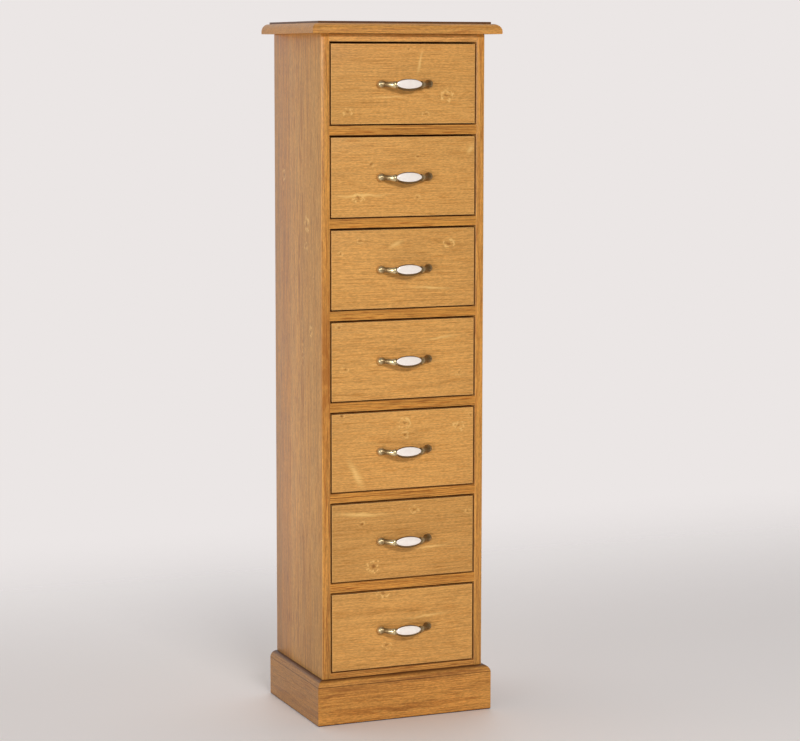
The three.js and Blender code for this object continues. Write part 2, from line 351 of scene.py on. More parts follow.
def figure_group():
    """Growth rings, long fibres, short pores, dark dashes and slow clouds of stain, from 0 to 1."""
    names = ("Ring", "Fibre", "Fleck", "Dash", "Cloud")
    group, given, result = new_group("pine_figure", ("PLACE", "HEART", "Lift", "Seed"), names)
    seeded = scale_vector(group, SEED_STEP, given["Seed"])
    place = calc_vector(group, "ADD", given["PLACE"], seeded)
    drift = sway(group, place, DRIFT_LUMPS, DRIFT, roughness=0.45)
    offset = calc_vector(group, "SUBTRACT", given["PLACE"], given["HEART"])
    section = calc_vector(group, "MULTIPLY", calc_vector(group, "ADD", offset, drift), (0, 1, 1))
    wobble = noise(group, place, WOBBLE_LUMPS, roughness=0.6)
    years = calc(group, "DIVIDE", measure(group, "LENGTH", section), RING_WIDTH)
    years = calc(group, "ADD", years, calc(group, "MULTIPLY", wobble, WOBBLE))
    years = calc(group, "ADD", years, given["Lift"])
    season = calc(group, "FRACT", years)
    growing = ramp(group, season, *GROWING_SEASON)
    ending = ramp(group, season, *ENDING_SEASON, 1.0, 0.0)
    strength = ramp(group, noise(group, place, HARVEST_LUMPS, detail=1.0), *HARVEST)
    ring = calc(group, "MULTIPLY", calc(group, "MULTIPLY", growing, ending), strength)
    fibre = ramp(group, noise(group, place, FIBRE_LUMPS, detail=1.0), *FIBRE_RANGE)
    fleck = ramp(group, noise(group, place, FLECK_LUMPS, detail=1.0, roughness=0.7), *FLECK_RANGE)
    dash = ramp(group, noise(group, place, DASH_LUMPS, detail=0.0), *DASH_RANGE)
    cloud = noise(group, place, CLOUD_LUMPS)
    fill(group, result, dict(zip(names, (ring, fibre, fleck, dash, cloud))))
    return group


FIGURE = figure_group()
print("nodes in the figure group:", len(FIGURE.nodes))

# %% [markdown]
# ## Knots and flames
# A knot is a branch that the trunk grew round. The rings bend away from it, it is dark and hard
# in the middle, and a pale ring of clear wood lies round it. Here a knot adds a hill to the count
# of the years, which pushes the rings into closed ovals, and gives two masks for its colours.
# A flame is a pale sliver where the plane cut along a ring, and a smear of stain has the same
# shape, so one mask serves for both. They are placed on a board where the real boards have theirs.

# %% Knot group
KNOT_HILL = 2.4
KNOT_SPREAD = (0.2, 0.42, 0)
KNOT_BEND = (2.8, 2.8, 0)
KNOT_BEND_LUMPS = (110, 110, 30)
CORE_EDGE = (0.3, 0.8)
HALO_REACH = 1.6
HALO_WIDTH = 0.4
HALO_LUMPS = (160, 160, 40)
HALO_GAPS = (0.4, 0.6)


def hill_of(tree, square, steepness):
    """A smooth hill, from the square of the distance to its top."""
    return calc(tree, "EXPONENT", calc(tree, "MULTIPLY", square, -steepness))


def knot_group():
    """How a knot lifts the rings, its dark core and its pale halo. SHARE is one over its size."""
    group, given, result = new_group("knot", ("PLACE", "CENTRE", "SHARE"), ("Lift", "Core", "Halo"))
    off = calc_vector(group, "SUBTRACT", given["PLACE"], given["CENTRE"])
    off = calc_vector(group, "MULTIPLY", off, given["SHARE"])
    bend = sway(group, given["PLACE"], KNOT_BEND_LUMPS, KNOT_BEND)
    reach = measure(group, "LENGTH", calc_vector(group, "ADD", off, bend))
    wide = calc_vector(group, "MULTIPLY", off, KNOT_SPREAD)
    hill = hill_of(group, measure(group, "DOT_PRODUCT", wide, wide), 1.0)
    core = ramp(group, reach, *CORE_EDGE, 1.0, 0.0)
    from_ring = calc(group, "DIVIDE", calc(group, "SUBTRACT", reach, HALO_REACH), HALO_WIDTH)
    stroke = hill_of(group, calc(group, "MULTIPLY", from_ring, from_ring), 1.0)
    broken = noise(group, given["PLACE"], HALO_LUMPS, detail=1.0)
    halo = calc(group, "MULTIPLY", stroke, ramp(group, broken, *HALO_GAPS))
    lift = calc(group, "MULTIPLY", hill, KNOT_HILL)
    fill(group, result, {"Lift": lift, "Core": core, "Halo": halo})
    return group


KNOT = knot_group()
print("nodes in the knot group:", len(KNOT.nodes))

# %% Flame group
FLAME_STEEPNESS = 1.3
FLAME_BEND = (0, 8 * MM, 0)
FLAME_BEND_LUMPS = (40, 40, 10)
FLAME_LUMPS = (60, 700, 100)
FLAME_STREAKS = (0.3, 0.58, 0.5, 1.0)


def flame_group():
    """A pale sliver at an angle on a board. SHARE is one over its length and width."""
    group, given, result = new_group("flame", ("PLACE", "CENTRE", "SHARE", "Turn"), ("Mask",))
    off = calc_vector(group, "SUBTRACT", given["PLACE"], given["CENTRE"])
    sockets = {"Vector": off, "Angle": given["Turn"]}
    turned = add_node(group, "ShaderNodeVectorRotate", sockets, rotation_type="Z_AXIS").outputs[0]
    bend = sway(group, given["PLACE"], FLAME_BEND_LUMPS, FLAME_BEND, detail=1.0)
    scaled = calc_vector(group, "MULTIPLY", calc_vector(group, "ADD", turned, bend), given["SHARE"])
    hill = hill_of(group, measure(group, "DOT_PRODUCT", scaled, scaled), FLAME_STEEPNESS)
    ragged = noise(group, given["PLACE"], FLAME_LUMPS)
    mask = calc(group, "MULTIPLY", hill, ramp(group, ragged, *FLAME_STREAKS))
    fill(group, result, {"Mask": mask})
    return group


FLAME = flame_group()
print("nodes in the flame group:", len(FLAME.nodes))

# %% [markdown]
# ## Stained and plain pine
# Stain goes deep into the soft pale wood and hardly into the dark rings, then the maker varnishes
# over it. Corners that were rubbed through show paler, and stain that pooled in a quirk stays dark.
# One function builds every pine finish from the figure, so that all boards belong to one chest,
# and each board differs in its seed, its heart and its marks. Paler and darker places come from a
# face attribute named tone, which the pieces carry: above 0 it is worn pale, and on the drawer
# fronts' arrises a painted highlight; below 0 it is darker, pooled stain, and in the gaps and along
# the floor a painted shade.
# Colours are the pale wood's and the dark rings'. Contrast is how dark the rings are, grain how
# strong the long streaks and the short pores are, and polish how much the varnish shines. A glued
# board has a tint for each stave, where it starts as a share of the width and how it multiplies
# the colour. Foot paints a board darker towards its start, as painted shade.

# %% Place and marks of a board
LARGE_KNOT = 5 * MM
KNOT_STRETCH = 0.75


def use_group(tree, group, sockets):
    """The outputs of a node group that is put to use."""
    return add_node(tree, "ShaderNodeGroup", sockets, node_tree=group).outputs.values()


def board_place(tree, order):
    """A point's place in metres, as along, across and deep. The order XZY says which axis is which."""
    parts = add_node(tree, "ShaderNodeSeparateXYZ", {0: object_place(tree)}).outputs
    sockets = {way: parts[axis] for way, axis in enumerate(order)}
    return add_node(tree, "ShaderNodeCombineXYZ", sockets).outputs[0]


def add_marks(tree, place, knots, flames):
    """Every knot and flame of a board, gathered into a lift and three masks."""
    lift, core, halo, pale = 0.0, 0.0, 0.0, 0.0
    for along, across, size in knots:
        size *= MM
        share = (KNOT_STRETCH / size, 1 / size, 0)
        sockets = {"PLACE": place, "CENTRE": (along, across, 0), "SHARE": share}
        raised, dark, light = use_group(tree, KNOT, sockets)
        lift = calc(tree, "ADD", raised, lift)
        core = calc(tree, "MAXIMUM", dark, core)
        halo = calc(tree, "MAXIMUM", calc(tree, "MULTIPLY", light, min(size / LARGE_KNOT, 1)), halo)
    for along, across, length, width, turn in flames:
        share = (2 / (length * MM), 2 / (width * MM), 0)
        sockets = {"PLACE": place, "CENTRE": (along, across, 0), "SHARE": share, "Turn": math.radians(-turn)}
        pale = calc(tree, "MAXIMUM", use_group(tree, FLAME, sockets)[0], pale)
    return lift, core, halo, pale


print("a knot is", round(1 / KNOT_STRETCH, 2), "times as long as it is wide")

# %% Tints of a glued board
TINT_ROOM = 2.0


def stave_tints(tree, across, low, high, tints):
    """The tint of each stave of a glued board, in steps. A ramp holds no more than 1, so it is divided."""
    share = calc(tree, "DIVIDE", calc(tree, "SUBTRACT", across, low), high - low)
    made = add_node(tree, "ShaderNodeValToRGB", {0: share})
    steps = made.color_ramp
    steps.interpolation = "CONSTANT"
    steps.elements.remove(steps.elements[-1])
    for number, (start, *tint) in enumerate(tints):
        step = steps.elements.new(start) if number else steps.elements[0]
        step.color = (*(part / TINT_ROOM for part in tint), 1)
    return scale_vector(tree, made.outputs["Color"], TINT_ROOM)


print("a stave can be up to", TINT_ROOM, "times as bright as its stain")

# %% Colours and strengths of the marks
FLAME_COLOUR = srgb(242, 196, 120)
KNOT_COLOUR = srgb(128, 72, 26)
WORN_AND_HIGHLIGHT_COLOUR = srgb(240, 194, 122)
POOLED_STAIN_AND_SHADE_COLOUR = srgb(66, 28, 6)
HALO_SHARE = 0.8
FLAME_SHARE = 0.9
STAIN_AND_SHADOW_SHARE = 0.75
CORE_SHARE = 0.5
DASH_SHARE = 0.5
FIBRE_LIGHT = 0.26
FLECK_LIGHT = 0.42
CLOUD_LIGHT = 0.12
STAVE_SPREAD = (0, 0.1, 0.06)
STAVE_SEEDS = 9.0
print("worn wood is", [round(part, 2) for part in WORN_AND_HIGHLIGHT_COLOUR[:3]], "in linear light")

# %% Fine relief
RELIEF = 0.2 * MM


def roughen(tree, shader, height, strength, distance=RELIEF):
    """Fine relief that only catches the light."""
    sockets = {"Height": height, "Strength": strength, "Distance": distance}
    fill(tree, shader, {"Normal": add_node(tree, "ShaderNodeBump", sockets).outputs[0]})


print("relief is at most", round(RELIEF / MM, 2), "mm")

# %% Pine material
FIBRE_RELIEF = 0.5
PORE_RELIEF = 0.4
VARNISHED_GLOSS = (0.12, 0.5)
BARE_GLOSS = (0.16, 0.66)
LEAST_SPECULAR = 0.1
POLISHED_SPECULAR = 0.4
VARNISH_ROUGHNESS = 0.28


def pine(
    name, order, heart, seed, colours, knots=(), flames=(), stains_and_shadows=(), stain=None, staves=None, foot=None,
    varnished=True, contrast=0.62, brightness=1.0, grain=(1.0, 1.0), polish=0.3,
):
    """A pine finish. Heart is where the tree's middle lies across and deep, in metres."""
    material, tree, shader = new_material(name)
    place = board_place(tree, order)
    lift, core, halo, pale = add_marks(tree, place, knots, flames)
    dark = add_marks(tree, place, (), stains_and_shadows)[3]
    heart, tint = (0, *heart), (1, 1, 1)
    parts = add_node(tree, "ShaderNodeSeparateXYZ", {0: place}).outputs
    if staves:
        tint = stave_tints(tree, parts["Y"], *staves)
        mixed = calc_vector(tree, "ADD", tint, (seed, seed, seed))
        chance = add_node(tree, "ShaderNodeTexWhiteNoise", {"Vector": mixed}, noise_dimensions="3D")
        spread = calc_vector(tree, "SUBTRACT", chance.outputs["Color"], (0.5, 0.5, 0.5))
        heart = calc_vector(tree, "ADD", calc_vector(tree, "MULTIPLY", spread, STAVE_SPREAD), heart)
        seed = calc(tree, "MULTIPLY", chance.outputs["Value"], STAVE_SEEDS)
    # Foot paints a board darker towards its start: painted shade.
    if foot:
        brightness = calc(tree, "MULTIPLY", ramp(tree, parts["X"], *foot, 1.0), brightness)
    sockets = {"PLACE": place, "HEART": heart, "Lift": lift, "Seed": seed}
    ring, fibre, fleck, dash, cloud = use_group(tree, FIGURE, sockets)
    early, late = colours
    colour = blend_colours(tree, calc(tree, "MULTIPLY", ring, contrast), early, late)
    streaks, specks = grain
    colour = blend_colours(tree, calc(tree, "MULTIPLY", dash, DASH_SHARE * streaks), colour, late)
    light = swing(tree, fibre, FIBRE_LIGHT * streaks, 1.0)
    light = calc(tree, "ADD", light, swing(tree, fleck, FLECK_LIGHT * specks))
    light = calc(tree, "ADD", light, swing(tree, cloud, CLOUD_LIGHT))
    colour = scale_vector(tree, colour, calc(tree, "MULTIPLY", light, brightness))
    colour = calc_vector(tree, "MULTIPLY", colour, tint)
    layers = [(halo, HALO_SHARE, FLAME_COLOUR), (pale, FLAME_SHARE, FLAME_COLOUR)]
    layers += [(dark, STAIN_AND_SHADOW_SHARE, stain or late), (core, CORE_SHARE, KNOT_COLOUR)]
    for mask, share, over in layers:
        colour = blend_colours(tree, calc(tree, "MULTIPLY", mask, share), colour, over)
    # Tone above 0 is paler: wear, and a painted highlight on the fronts' arrises. Below 0 is darker: pooled
    # stain, and painted shade in the gaps and along the floor.
    tone = add_node(tree, "ShaderNodeAttribute", attribute_name="tone").outputs["Fac"]
    wear_and_highlight = calc(tree, "MAXIMUM", tone, 0.0)
    pooled_stain_and_shade = calc(tree, "MAXIMUM", calc(tree, "MULTIPLY", tone, -1.0), 0.0)
    colour = blend_colours(tree, wear_and_highlight, colour, WORN_AND_HIGHLIGHT_COLOUR if varnished else early)
    colour = blend_colours(tree, pooled_stain_and_shade, colour, POOLED_STAIN_AND_SHADE_COLOUR)
    height = calc(tree, "MULTIPLY_ADD", fibre, FIBRE_RELIEF, calc(tree, "MULTIPLY", fleck, PORE_RELIEF))
    height = calc(tree, "SUBTRACT", height, calc(tree, "MULTIPLY", dash, PORE_RELIEF))
    roughen(tree, shader, height, strength=0.5)
    gloss = VARNISHED_GLOSS if varnished else BARE_GLOSS
    fill(tree, shader, {"Base Color": colour, "Roughness": calc(tree, "MULTIPLY_ADD", fibre, *gloss)})
    if varnished:
        sockets = {"Specular IOR Level": LEAST_SPECULAR + POLISHED_SPECULAR * polish, "Coat Weight": polish}
        fill(tree, shader, {**sockets, "Coat Roughness": VARNISH_ROUGHNESS})
    return material


print("least roughness of bare pine:", BARE_GLOSS[1], "and of varnished pine:", VARNISHED_GLOSS[1])

# %% [markdown]
# ## Thin plywood
# The back, the drawer bottoms and the panels between the drawers are thin plywood, left bare. Its
# face is peeled from the log like paper from a roll, so it shows broad wavy figure in place of
# rings. Stretched noise that is read twice, the second time bent by the first, draws that.

# %% Plywood material
PALE_PLY = srgb(214, 187, 142)
DARK_PLY = srgb(189, 154, 106)
PLY_ROUGHNESS = 0.72
PLY_BEND = 0.12
PLY_BEND_LUMPS = (3, 12, 12)
PLY_WAVE_LUMPS = (2.2, 34, 34)
PLY_WAVE_RANGE = (0.3, 0.7)
PLY_FIBRE_LUMPS = (30, 700, 700)
PLY_FIBRE_LIGHT = 0.3


def plywood(name, order, seed):
    """Bare rotary-cut plywood, with the grain of its face along the first axis of the order."""
    material, tree, shader = new_material(name)
    place = calc_vector(tree, "ADD", board_place(tree, order), [seed * step for step in SEED_STEP])
    bend = noise(tree, place, PLY_BEND_LUMPS, output="Color")
    bent = calc_vector(tree, "ADD", place, scale_vector(tree, bend, PLY_BEND))
    wave = noise(tree, bent, PLY_WAVE_LUMPS, detail=3.0, roughness=0.55)
    fibre = noise(tree, place, PLY_FIBRE_LUMPS)
    colour = blend_colours(tree, ramp(tree, wave, *PLY_WAVE_RANGE), PALE_PLY, DARK_PLY)
    colour = scale_vector(tree, colour, swing(tree, fibre, PLY_FIBRE_LIGHT, 1.0))
    fill(tree, shader, {"Base Color": colour, "Roughness": PLY_ROUGHNESS})
    roughen(tree, shader, fibre, strength=0.4)
    return material


PLY_ACROSS = plywood("plywood_across", "XYZ", 1)
PLY_UPRIGHT = plywood("plywood_upright", "ZXY", 2)
print("plywood finishes:", PLY_ACROSS.name, PLY_UPRIGHT.name)

# %% [markdown]
# ## Making a piece
# Each new piece is shaped in a bmesh, and these helpers turn it into an object that is in its
# place, rides on a body of the chest and stands for the plain solid that it refines. Smooth
# shading with sharp edges kept by their angle gives round stretches a soft look and leaves flats
# flat, with no extra geometry.

# %% Piece helpers
WELD = 0.001 * MM
SHARP = math.radians(32)


def make_piece(shape, name, finishes, body, stands_for=()):
    """Turns a finished shape into a piece of the chest."""
    bmesh.ops.remove_doubles(shape, verts=shape.verts, dist=WELD)
    bmesh.ops.recalc_face_normals(shape, faces=shape.faces)
    mesh = bpy.data.meshes.new(name)
    shape.to_mesh(mesh)
    shape.free()
    for finish in finishes:
        mesh.materials.append(finish)
    mesh.shade_smooth()
    mesh.set_sharp_from_angle(angle=SHARP)
    piece = bpy.data.objects.new(name, mesh)
    scene.collection.objects.link(piece)
    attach(piece, body)
    if stands_for:
        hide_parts(*stands_for)
    return piece


print("edges sharper than", round(math.degrees(SHARP)), "degrees stay crisp")

# %% Board helpers
EASING_STEPS = 3


def add_block(shape, low, high):
    """A plain block between two corners, as its points."""
    made = bmesh.ops.create_cube(shape, size=1)["verts"]
    bmesh.ops.scale(shape, vec=high - low, verts=made)
    bmesh.ops.translate(shape, vec=(low + high) / 2, verts=made)
    return made


def round_over(shape, edges, reach, steps):
    """Bevels edges to a round, and hands back the new faces."""
    settings = {"affect": "EDGES", "offset_type": "OFFSET", "profile": 0.5, "material": -1}
    made = bmesh.ops.bevel(shape, geom=edges, offset=reach, segments=steps, clamp_overlap=True, **settings)
    return made["faces"]


def add_board(shape, low, high, easing, tone_at=None, finish=0, run=None):
    """A board between two corners, with its edges eased, or only those that run along one way."""
    tone = shape.faces.layers.float.get("tone") or shape.faces.layers.float.new("tone")
    made = add_block(shape, low, high)
    for face in {face for vert in made for face in vert.link_faces}:
        face.material_index = finish
    edges = list({edge for vert in made for edge in vert.link_edges})
    if run:
        edges = [edge for edge in edges if abs((edge.verts[0].co - edge.verts[1].co).dot(run)) > easing]
    eased = round_over(shape, edges, easing, EASING_STEPS)
    for face in eased if tone_at else ():
        face[tone] = tone_at(face.calc_center_median())


def new_board(name, node, finish, body, easing, tone_at=None):
    """A board that stands for the plain solid of a node."""
    shape = bmesh.new()
    add_board(shape, *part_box(node), easing, tone_at)
    return make_piece(shape, name, [finish], body, (node,))


print("an eased edge is rounded in", EASING_STEPS, "steps")

# %% [markdown]
# ## Side panels
# Each side is one board glued up from upright staves about 60 mm wide, so its colour steps a
# little from stave to stave and each has its own figure. The tints also hold painted light: the
# three staves at the front are greyer and bluer, a painted sheen, and the two at the back darker, a
# painted shade. Its front edge is the stile beside the drawers, which keeps the plain stain: it is
# the first, very narrow step of the tints. A box with eased edges is the true shape of a planed
# board. The staves are colour alone, because the maker planes and sands the joints flush. The side
# is painted darker towards the floor, a painted shade, and the left stile is smeared darker below
# its middle.

# %% Side panels
BODY = "carcass"
SIDE_EASING = 1.2 * MM
POLISH = 0.38
side_low, side_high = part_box("side_panel_left")
CARCASS_COLOURS = (srgb(209, 146, 66), srgb(158, 90, 24))
SIDE_WEAR = 0.2
# Tone of the painted shade in the drawer gaps and along the floor.
PAINTED_GAP_SHADE = -1.0
SIDE_KNOTS = (
    (1.093, 215, 4),
    (1.001, 82, 6),
    (0.955, 89, 4),
    (0.895, 43, 3),
    (0.789, 61, 4),
    (0.737, 109, 3),
)
# Stave tints: a painted sheen on the three front staves and a painted shade on the two at the back.
SIDE_TINTS_SHEEN_AND_SHADE = (
    (0.0, 1.0, 1.0, 1.0),
    (0.0045, 0.88, 0.98, 1.32),
    (0.231, 0.89, 0.96, 1.2),
    (0.451, 0.95, 1.01, 1.2),
    (0.667, 0.85, 0.81, 0.76),
    (0.886, 0.79, 0.79, 0.86),
)
# The side is painted darker towards the floor: a painted shade.
SIDE_PAINTED_FOOT_SHADE = (0.1, 0.45, 0.8)
SIDE_LOOK = {"foot": SIDE_PAINTED_FOOT_SHADE, "grain": (1.3, 0.8), "polish": POLISH}
SIDE_HEART = 55 * MM
STILE_STAIN = ((0.73, side_low.y, 420, 14, 0),)
FACE_SIDE = 0.25

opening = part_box("top_rail")[0].x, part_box("top_rail")[1].x


def side_tone(centre):
    """The arris beside the drawers painted dark, a painted shade in the gap, and the outer arrises rubbed.
    """
    by_opening = opening[0] - SIDE_EASING < centre.x < opening[1] + SIDE_EASING
    return PAINTED_GAP_SHADE if by_opening and centre.y > side_low.y + SIDE_EASING * FACE_SIDE else SIDE_WEAR


left_knots = [(z, side_low.y + back * MM, size) for z, back, size in SIDE_KNOTS]
right_knots = [(side_high.z - z, side_low.y + back * MM, size) for z, back, size in SIDE_KNOTS]
for side, knots, seed in (("left", left_knots, 3.0), ("right", right_knots, 17.0)):
    low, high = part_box(f"side_panel_{side}")
    heart = ((low.y + high.y) / 2, low.x + SIDE_HEART)
    stains_and_shadows = STILE_STAIN if side == "left" else ()
    look = SIDE_LOOK | {"staves": (low.y, high.y, SIDE_TINTS_SHEEN_AND_SHADE), "stains_and_shadows": stains_and_shadows}
    finish = pine(f"pine_side_{side}", "ZYX", heart, seed, CARCASS_COLOURS, knots, **look)
    node = f"side_panel_{side}"
    new_board(f"glued_side_{side}", node, finish, BODY, SIDE_EASING, side_tone)
print("side panels:", round((side_high.z - side_low.z) / MM), "mm high")

# %% [markdown]
# ## Rails
# The narrow rails between the drawers run across, flush with the stiles. On the bench they are the
# same planed pine. The finish reads places in space, so that one material gives each rail, at its
# own height, a figure of its own. Only a rail's long edges are eased, and its ends run on into the
# eased edge of the stiles, so that the joint is closed as a glued one is.

# %% Rails
RAIL_EASING = 1.3 * MM
rail_low, rail_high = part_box("top_rail")
RAIL_HEART = (0.4, rail_low.y + 35 * MM)
RAIL_SEED = 5.0
BASE_RAIL_SEED = 6.0
RAIL_BRIGHTNESS = 0.96
RAIL_LOOK = {"contrast": 0.9, "grain": (1.7, 0.6), "polish": 0.2}
# A band of painted shadow along the top rail's upper edge, where the top's overhang shades it.
TOP_RAIL_PAINTED_SHADOW = ((0, rail_high.z, 900, 9, 0),)
RAIL_WOOD = "XZY", RAIL_HEART, RAIL_SEED
RAIL_FINISH = pine("pine_rail", *RAIL_WOOD, CARCASS_COLOURS, brightness=RAIL_BRIGHTNESS, **RAIL_LOOK)
FRONT_COLOURS = (srgb(217, 160, 88), srgb(180, 114, 42))
TOP_RAIL_LOOK = {"contrast": 0.4, "stains_and_shadows": TOP_RAIL_PAINTED_SHADOW}
TOP_RAIL_FINISH = pine("pine_top_rail", *RAIL_WOOD, FRONT_COLOURS, **TOP_RAIL_LOOK)
PLINTH_COLOURS = (srgb(199, 139, 66), srgb(152, 89, 30))
BASE_RAIL_WOOD = "XZY", RAIL_HEART, BASE_RAIL_SEED
BASE_RAIL_FINISH = pine("pine_base_rail", *BASE_RAIL_WOOD, PLINTH_COLOURS, **RAIL_LOOK)


def rail_tone(centre):
    """The deeper half of an arris painted dark, a painted shade in the gap."""
    return PAINTED_GAP_SHADE if centre.y > rail_low.y + RAIL_EASING * FACE_SIDE else 0


rails = {f"divider_rail_{number}": RAIL_FINISH for number in range(1, len(DAYS))}
rails["top_rail"] = TOP_RAIL_FINISH
rails["base_rail"] = BASE_RAIL_FINISH
for node, finish in rails.items():
    low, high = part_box(node)
    reach = RIGHT * SIDE_EASING
    shape = bmesh.new()
    add_board(shape, low - reach, high + reach, RAIL_EASING, rail_tone, run=RIGHT)
    make_piece(shape, f"planed_{node}", [finish], BODY, (node,))
print("rails:", len(rails))

# %% [markdown]
# ## The moulded top
# The top is one board whose front and ends were run past a router: a small easing below, an
# upright band, an ovolo, a level quirk and a low fillet under the face. The back edge stays square
# against the wall. A bevel can't leave a quirk, so the outline of the board is lifted row by row:
# each extrusion moves up by the rise of a point of the profile and draws in by its inset, about
# the middle of the back edge, so that the back never moves. Stain pooled in the quirk and on the
# low fillet, which shows in the photograph as a dark line, and the ends of the board took a little
# more stain than its front. The two faces are worn matt, so they have a finish of their own.

# %% Moulded profile
OVOLO_RADIUS = 15 * MM
OVOLO_STEPS = 14
EASING = 1 * MM
EASING_MIDDLE = 0.3 * EASING
BAND_HEIGHT = 4 * MM
QUIRK_WIDTH = 2.5 * MM
FILLET_EASING = 0.5 * MM
POOLED = -0.85


def quarter_round(radius, rise, steps):
    """Insets and rises of a round that starts upright and ends level."""
    turns = [math.pi / 2 * step / steps for step in range(steps + 1)]
    return [(radius * (1 - math.cos(turn)), rise + radius * math.sin(turn)) for turn in turns]


def top_profile(thickness):
    """Insets, rises and tones of the top's edge, from its underside up to its face."""
    ovolo = quarter_round(OVOLO_RADIUS, EASING + BAND_HEIGHT, OVOLO_STEPS)
    fillet_rise = EASING + BAND_HEIGHT + OVOLO_RADIUS
    fillet_inset = OVOLO_RADIUS + QUIRK_WIDTH
    return [
        (EASING, 0, 0),
        (EASING_MIDDLE, EASING_MIDDLE, 0),
        (0, EASING, 0),
        *((inset, rise, 0) for inset, rise in ovolo),
        (fillet_inset, fillet_rise, POOLED),
        (fillet_inset, thickness - FILLET_EASING, POOLED),
        (fillet_inset + FILLET_EASING, thickness, POOLED),
    ]


top_low, top_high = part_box("top_slab")
PROFILE = top_profile(top_high.z - top_low.z)
print("points in the top's profile:", len(PROFILE))

# %% Moulded top
END_TONE = -0.14
END_FACING = 0.5
FACE_FINISH = 1


def loose_ends(made):
    """The new points, outer edges and faces that an extrusion of edges gives back."""
    kinds = bmesh.types.BMVert, bmesh.types.BMEdge, bmesh.types.BMFace
    return [[item for item in made["geom"] if isinstance(item, kind)] for kind in kinds]


def moulded_top(low, high):
    """The top board, lifted row by row from its lower outline."""
    shape = bmesh.new()
    tone = shape.faces.layers.float.new("tone")
    size = high - low
    made = bmesh.ops.create_grid(shape, x_segments=1, y_segments=1, size=0.5)["verts"]
    bmesh.ops.delete(shape, geom=shape.faces[:], context="FACES_ONLY")
    back = Vector(((low.x + high.x) / 2, high.y, low.z))
    bmesh.ops.scale(shape, vec=(size.x, size.y, 1), verts=made)
    bmesh.ops.translate(shape, vec=(low + high) / 2 - Vector((0, 0, size.z / 2)), verts=made)
    about_back = Matrix.Translation(-back)
    edges, verts = shape.edges[:], made
    width, depth, height = size.x, size.y, 0
    for row, (inset, rise, darkness) in enumerate(PROFILE):
        if row:
            verts, edges, faces = loose_ends(bmesh.ops.extrude_edge_only(shape, edges=edges))
            for face in faces:
                face[tone] = darkness
        share = ((size.x - 2 * inset) / width, (size.y - inset) / depth, 1)
        bmesh.ops.scale(shape, vec=share, space=about_back, verts=verts)
        bmesh.ops.translate(shape, vec=(0, 0, rise - height), verts=verts)
        width, depth, height = size.x - 2 * inset, size.y - inset, rise
    for face in bmesh.ops.holes_fill(shape, edges=shape.edges[:], sides=0)["faces"]:
        face[tone] = 0
        face.material_index = FACE_FINISH
    shape.normal_update()
    for face in shape.faces:
        if abs(face.normal.x) > END_FACING and not face[tone]:
            face[tone] = END_TONE
    return shape


print("the face lies", round(PROFILE[-1][0] / MM, 1), "mm in from the board's edge")

# %% Top
TOP_HEART = (10 * MM, top_low.z - 60 * MM)
TOP_SEED = 8.0
TOP_KNOTS = ((0.03, -0.02, 7), (-0.12, 0.07, 5), (0.14, 0.09, 4), (-0.05, 0.11, 4))
TOP_TINTS = (
    (0.0, 0.98, 1.0, 1.14),
    (0.27, 0.98, 0.97, 0.96),
    (0.51, 1.03, 1.03, 1.03),
    (0.76, 0.97, 0.97, 0.97),
)
TOP_STAVES = top_low.y, top_high.y, TOP_TINTS
TOP_WOOD = "XYZ", TOP_HEART, TOP_SEED, CARCASS_COLOURS, TOP_KNOTS
TOP_FINISHES = [
    pine("pine_top_edge", *TOP_WOOD, staves=TOP_STAVES, polish=POLISH),
    pine("pine_top_face", *TOP_WOOD, staves=TOP_STAVES, polish=0.0),
]
shape = moulded_top(top_low, top_high)
top = make_piece(shape, "moulded_top", TOP_FINISHES, BODY, ("top_slab",))
print("moulded top:", len(top.data.polygons), "faces, size", [round(part / MM) for part in top.dimensions])

# %% [markdown]
# ## The plinth
# Three boards stand proud round the foot of the carcass, their top edge worked to a quarter round
# and their front corners mitred. A router makes that round, and a bevel of one edge is its twin in
# mesh form. The mitre is then sawn: a plane through the corner cuts the board, and the cut is
# closed. The faces where the round meets the carcass are made darker, a thin dark line lies where
# the round begins, and the eased edge along the floor is painted dark, a painted shadow where the
# board stands on the floor.

# %% Sawing, and finding edges
def saw(shape, point, normal):
    """Cuts a shape by a plane, drops the side that the normal points to, and closes the cut."""
    parts = shape.verts[:] + shape.edges[:] + shape.faces[:]
    cut = bmesh.ops.bisect_plane(shape, geom=parts, plane_co=point, plane_no=normal, clear_outer=True)
    edges = [item for item in cut["geom_cut"] if isinstance(item, bmesh.types.BMEdge)]
    bmesh.ops.edgeloop_fill(shape, edges=edges)


def edges_towards(shape, middle, *ways):
    """The edges with both ends beyond the middle, in each of some directions."""
    found = []
    for edge in shape.edges:
        ends = [vert.co - middle for vert in edge.verts]
        if all(end.dot(way) > 0 for end in ends for way in ways):
            found.append(edge)
    return found


print("helpers for edges:", saw.__name__, edges_towards.__name__)

# %% Plinth board
PLINTH_ROUND = 14 * MM
PLINTH_STEPS = 12
PLINTH_TOP_DARK_HEIGHT = 5 * MM
PLINTH_TOP_DARK_FACING = 0.2
PLINTH_TOP_DARK = -0.95
PLINTH_LINE_FROM = 12.5 * MM
PLINTH_LINE_FACING = 0.05
PLINTH_LINE = -0.6
PLINTH_FOOT_EASING = 2 * MM
PLINTH_FOOT_STEPS = 2


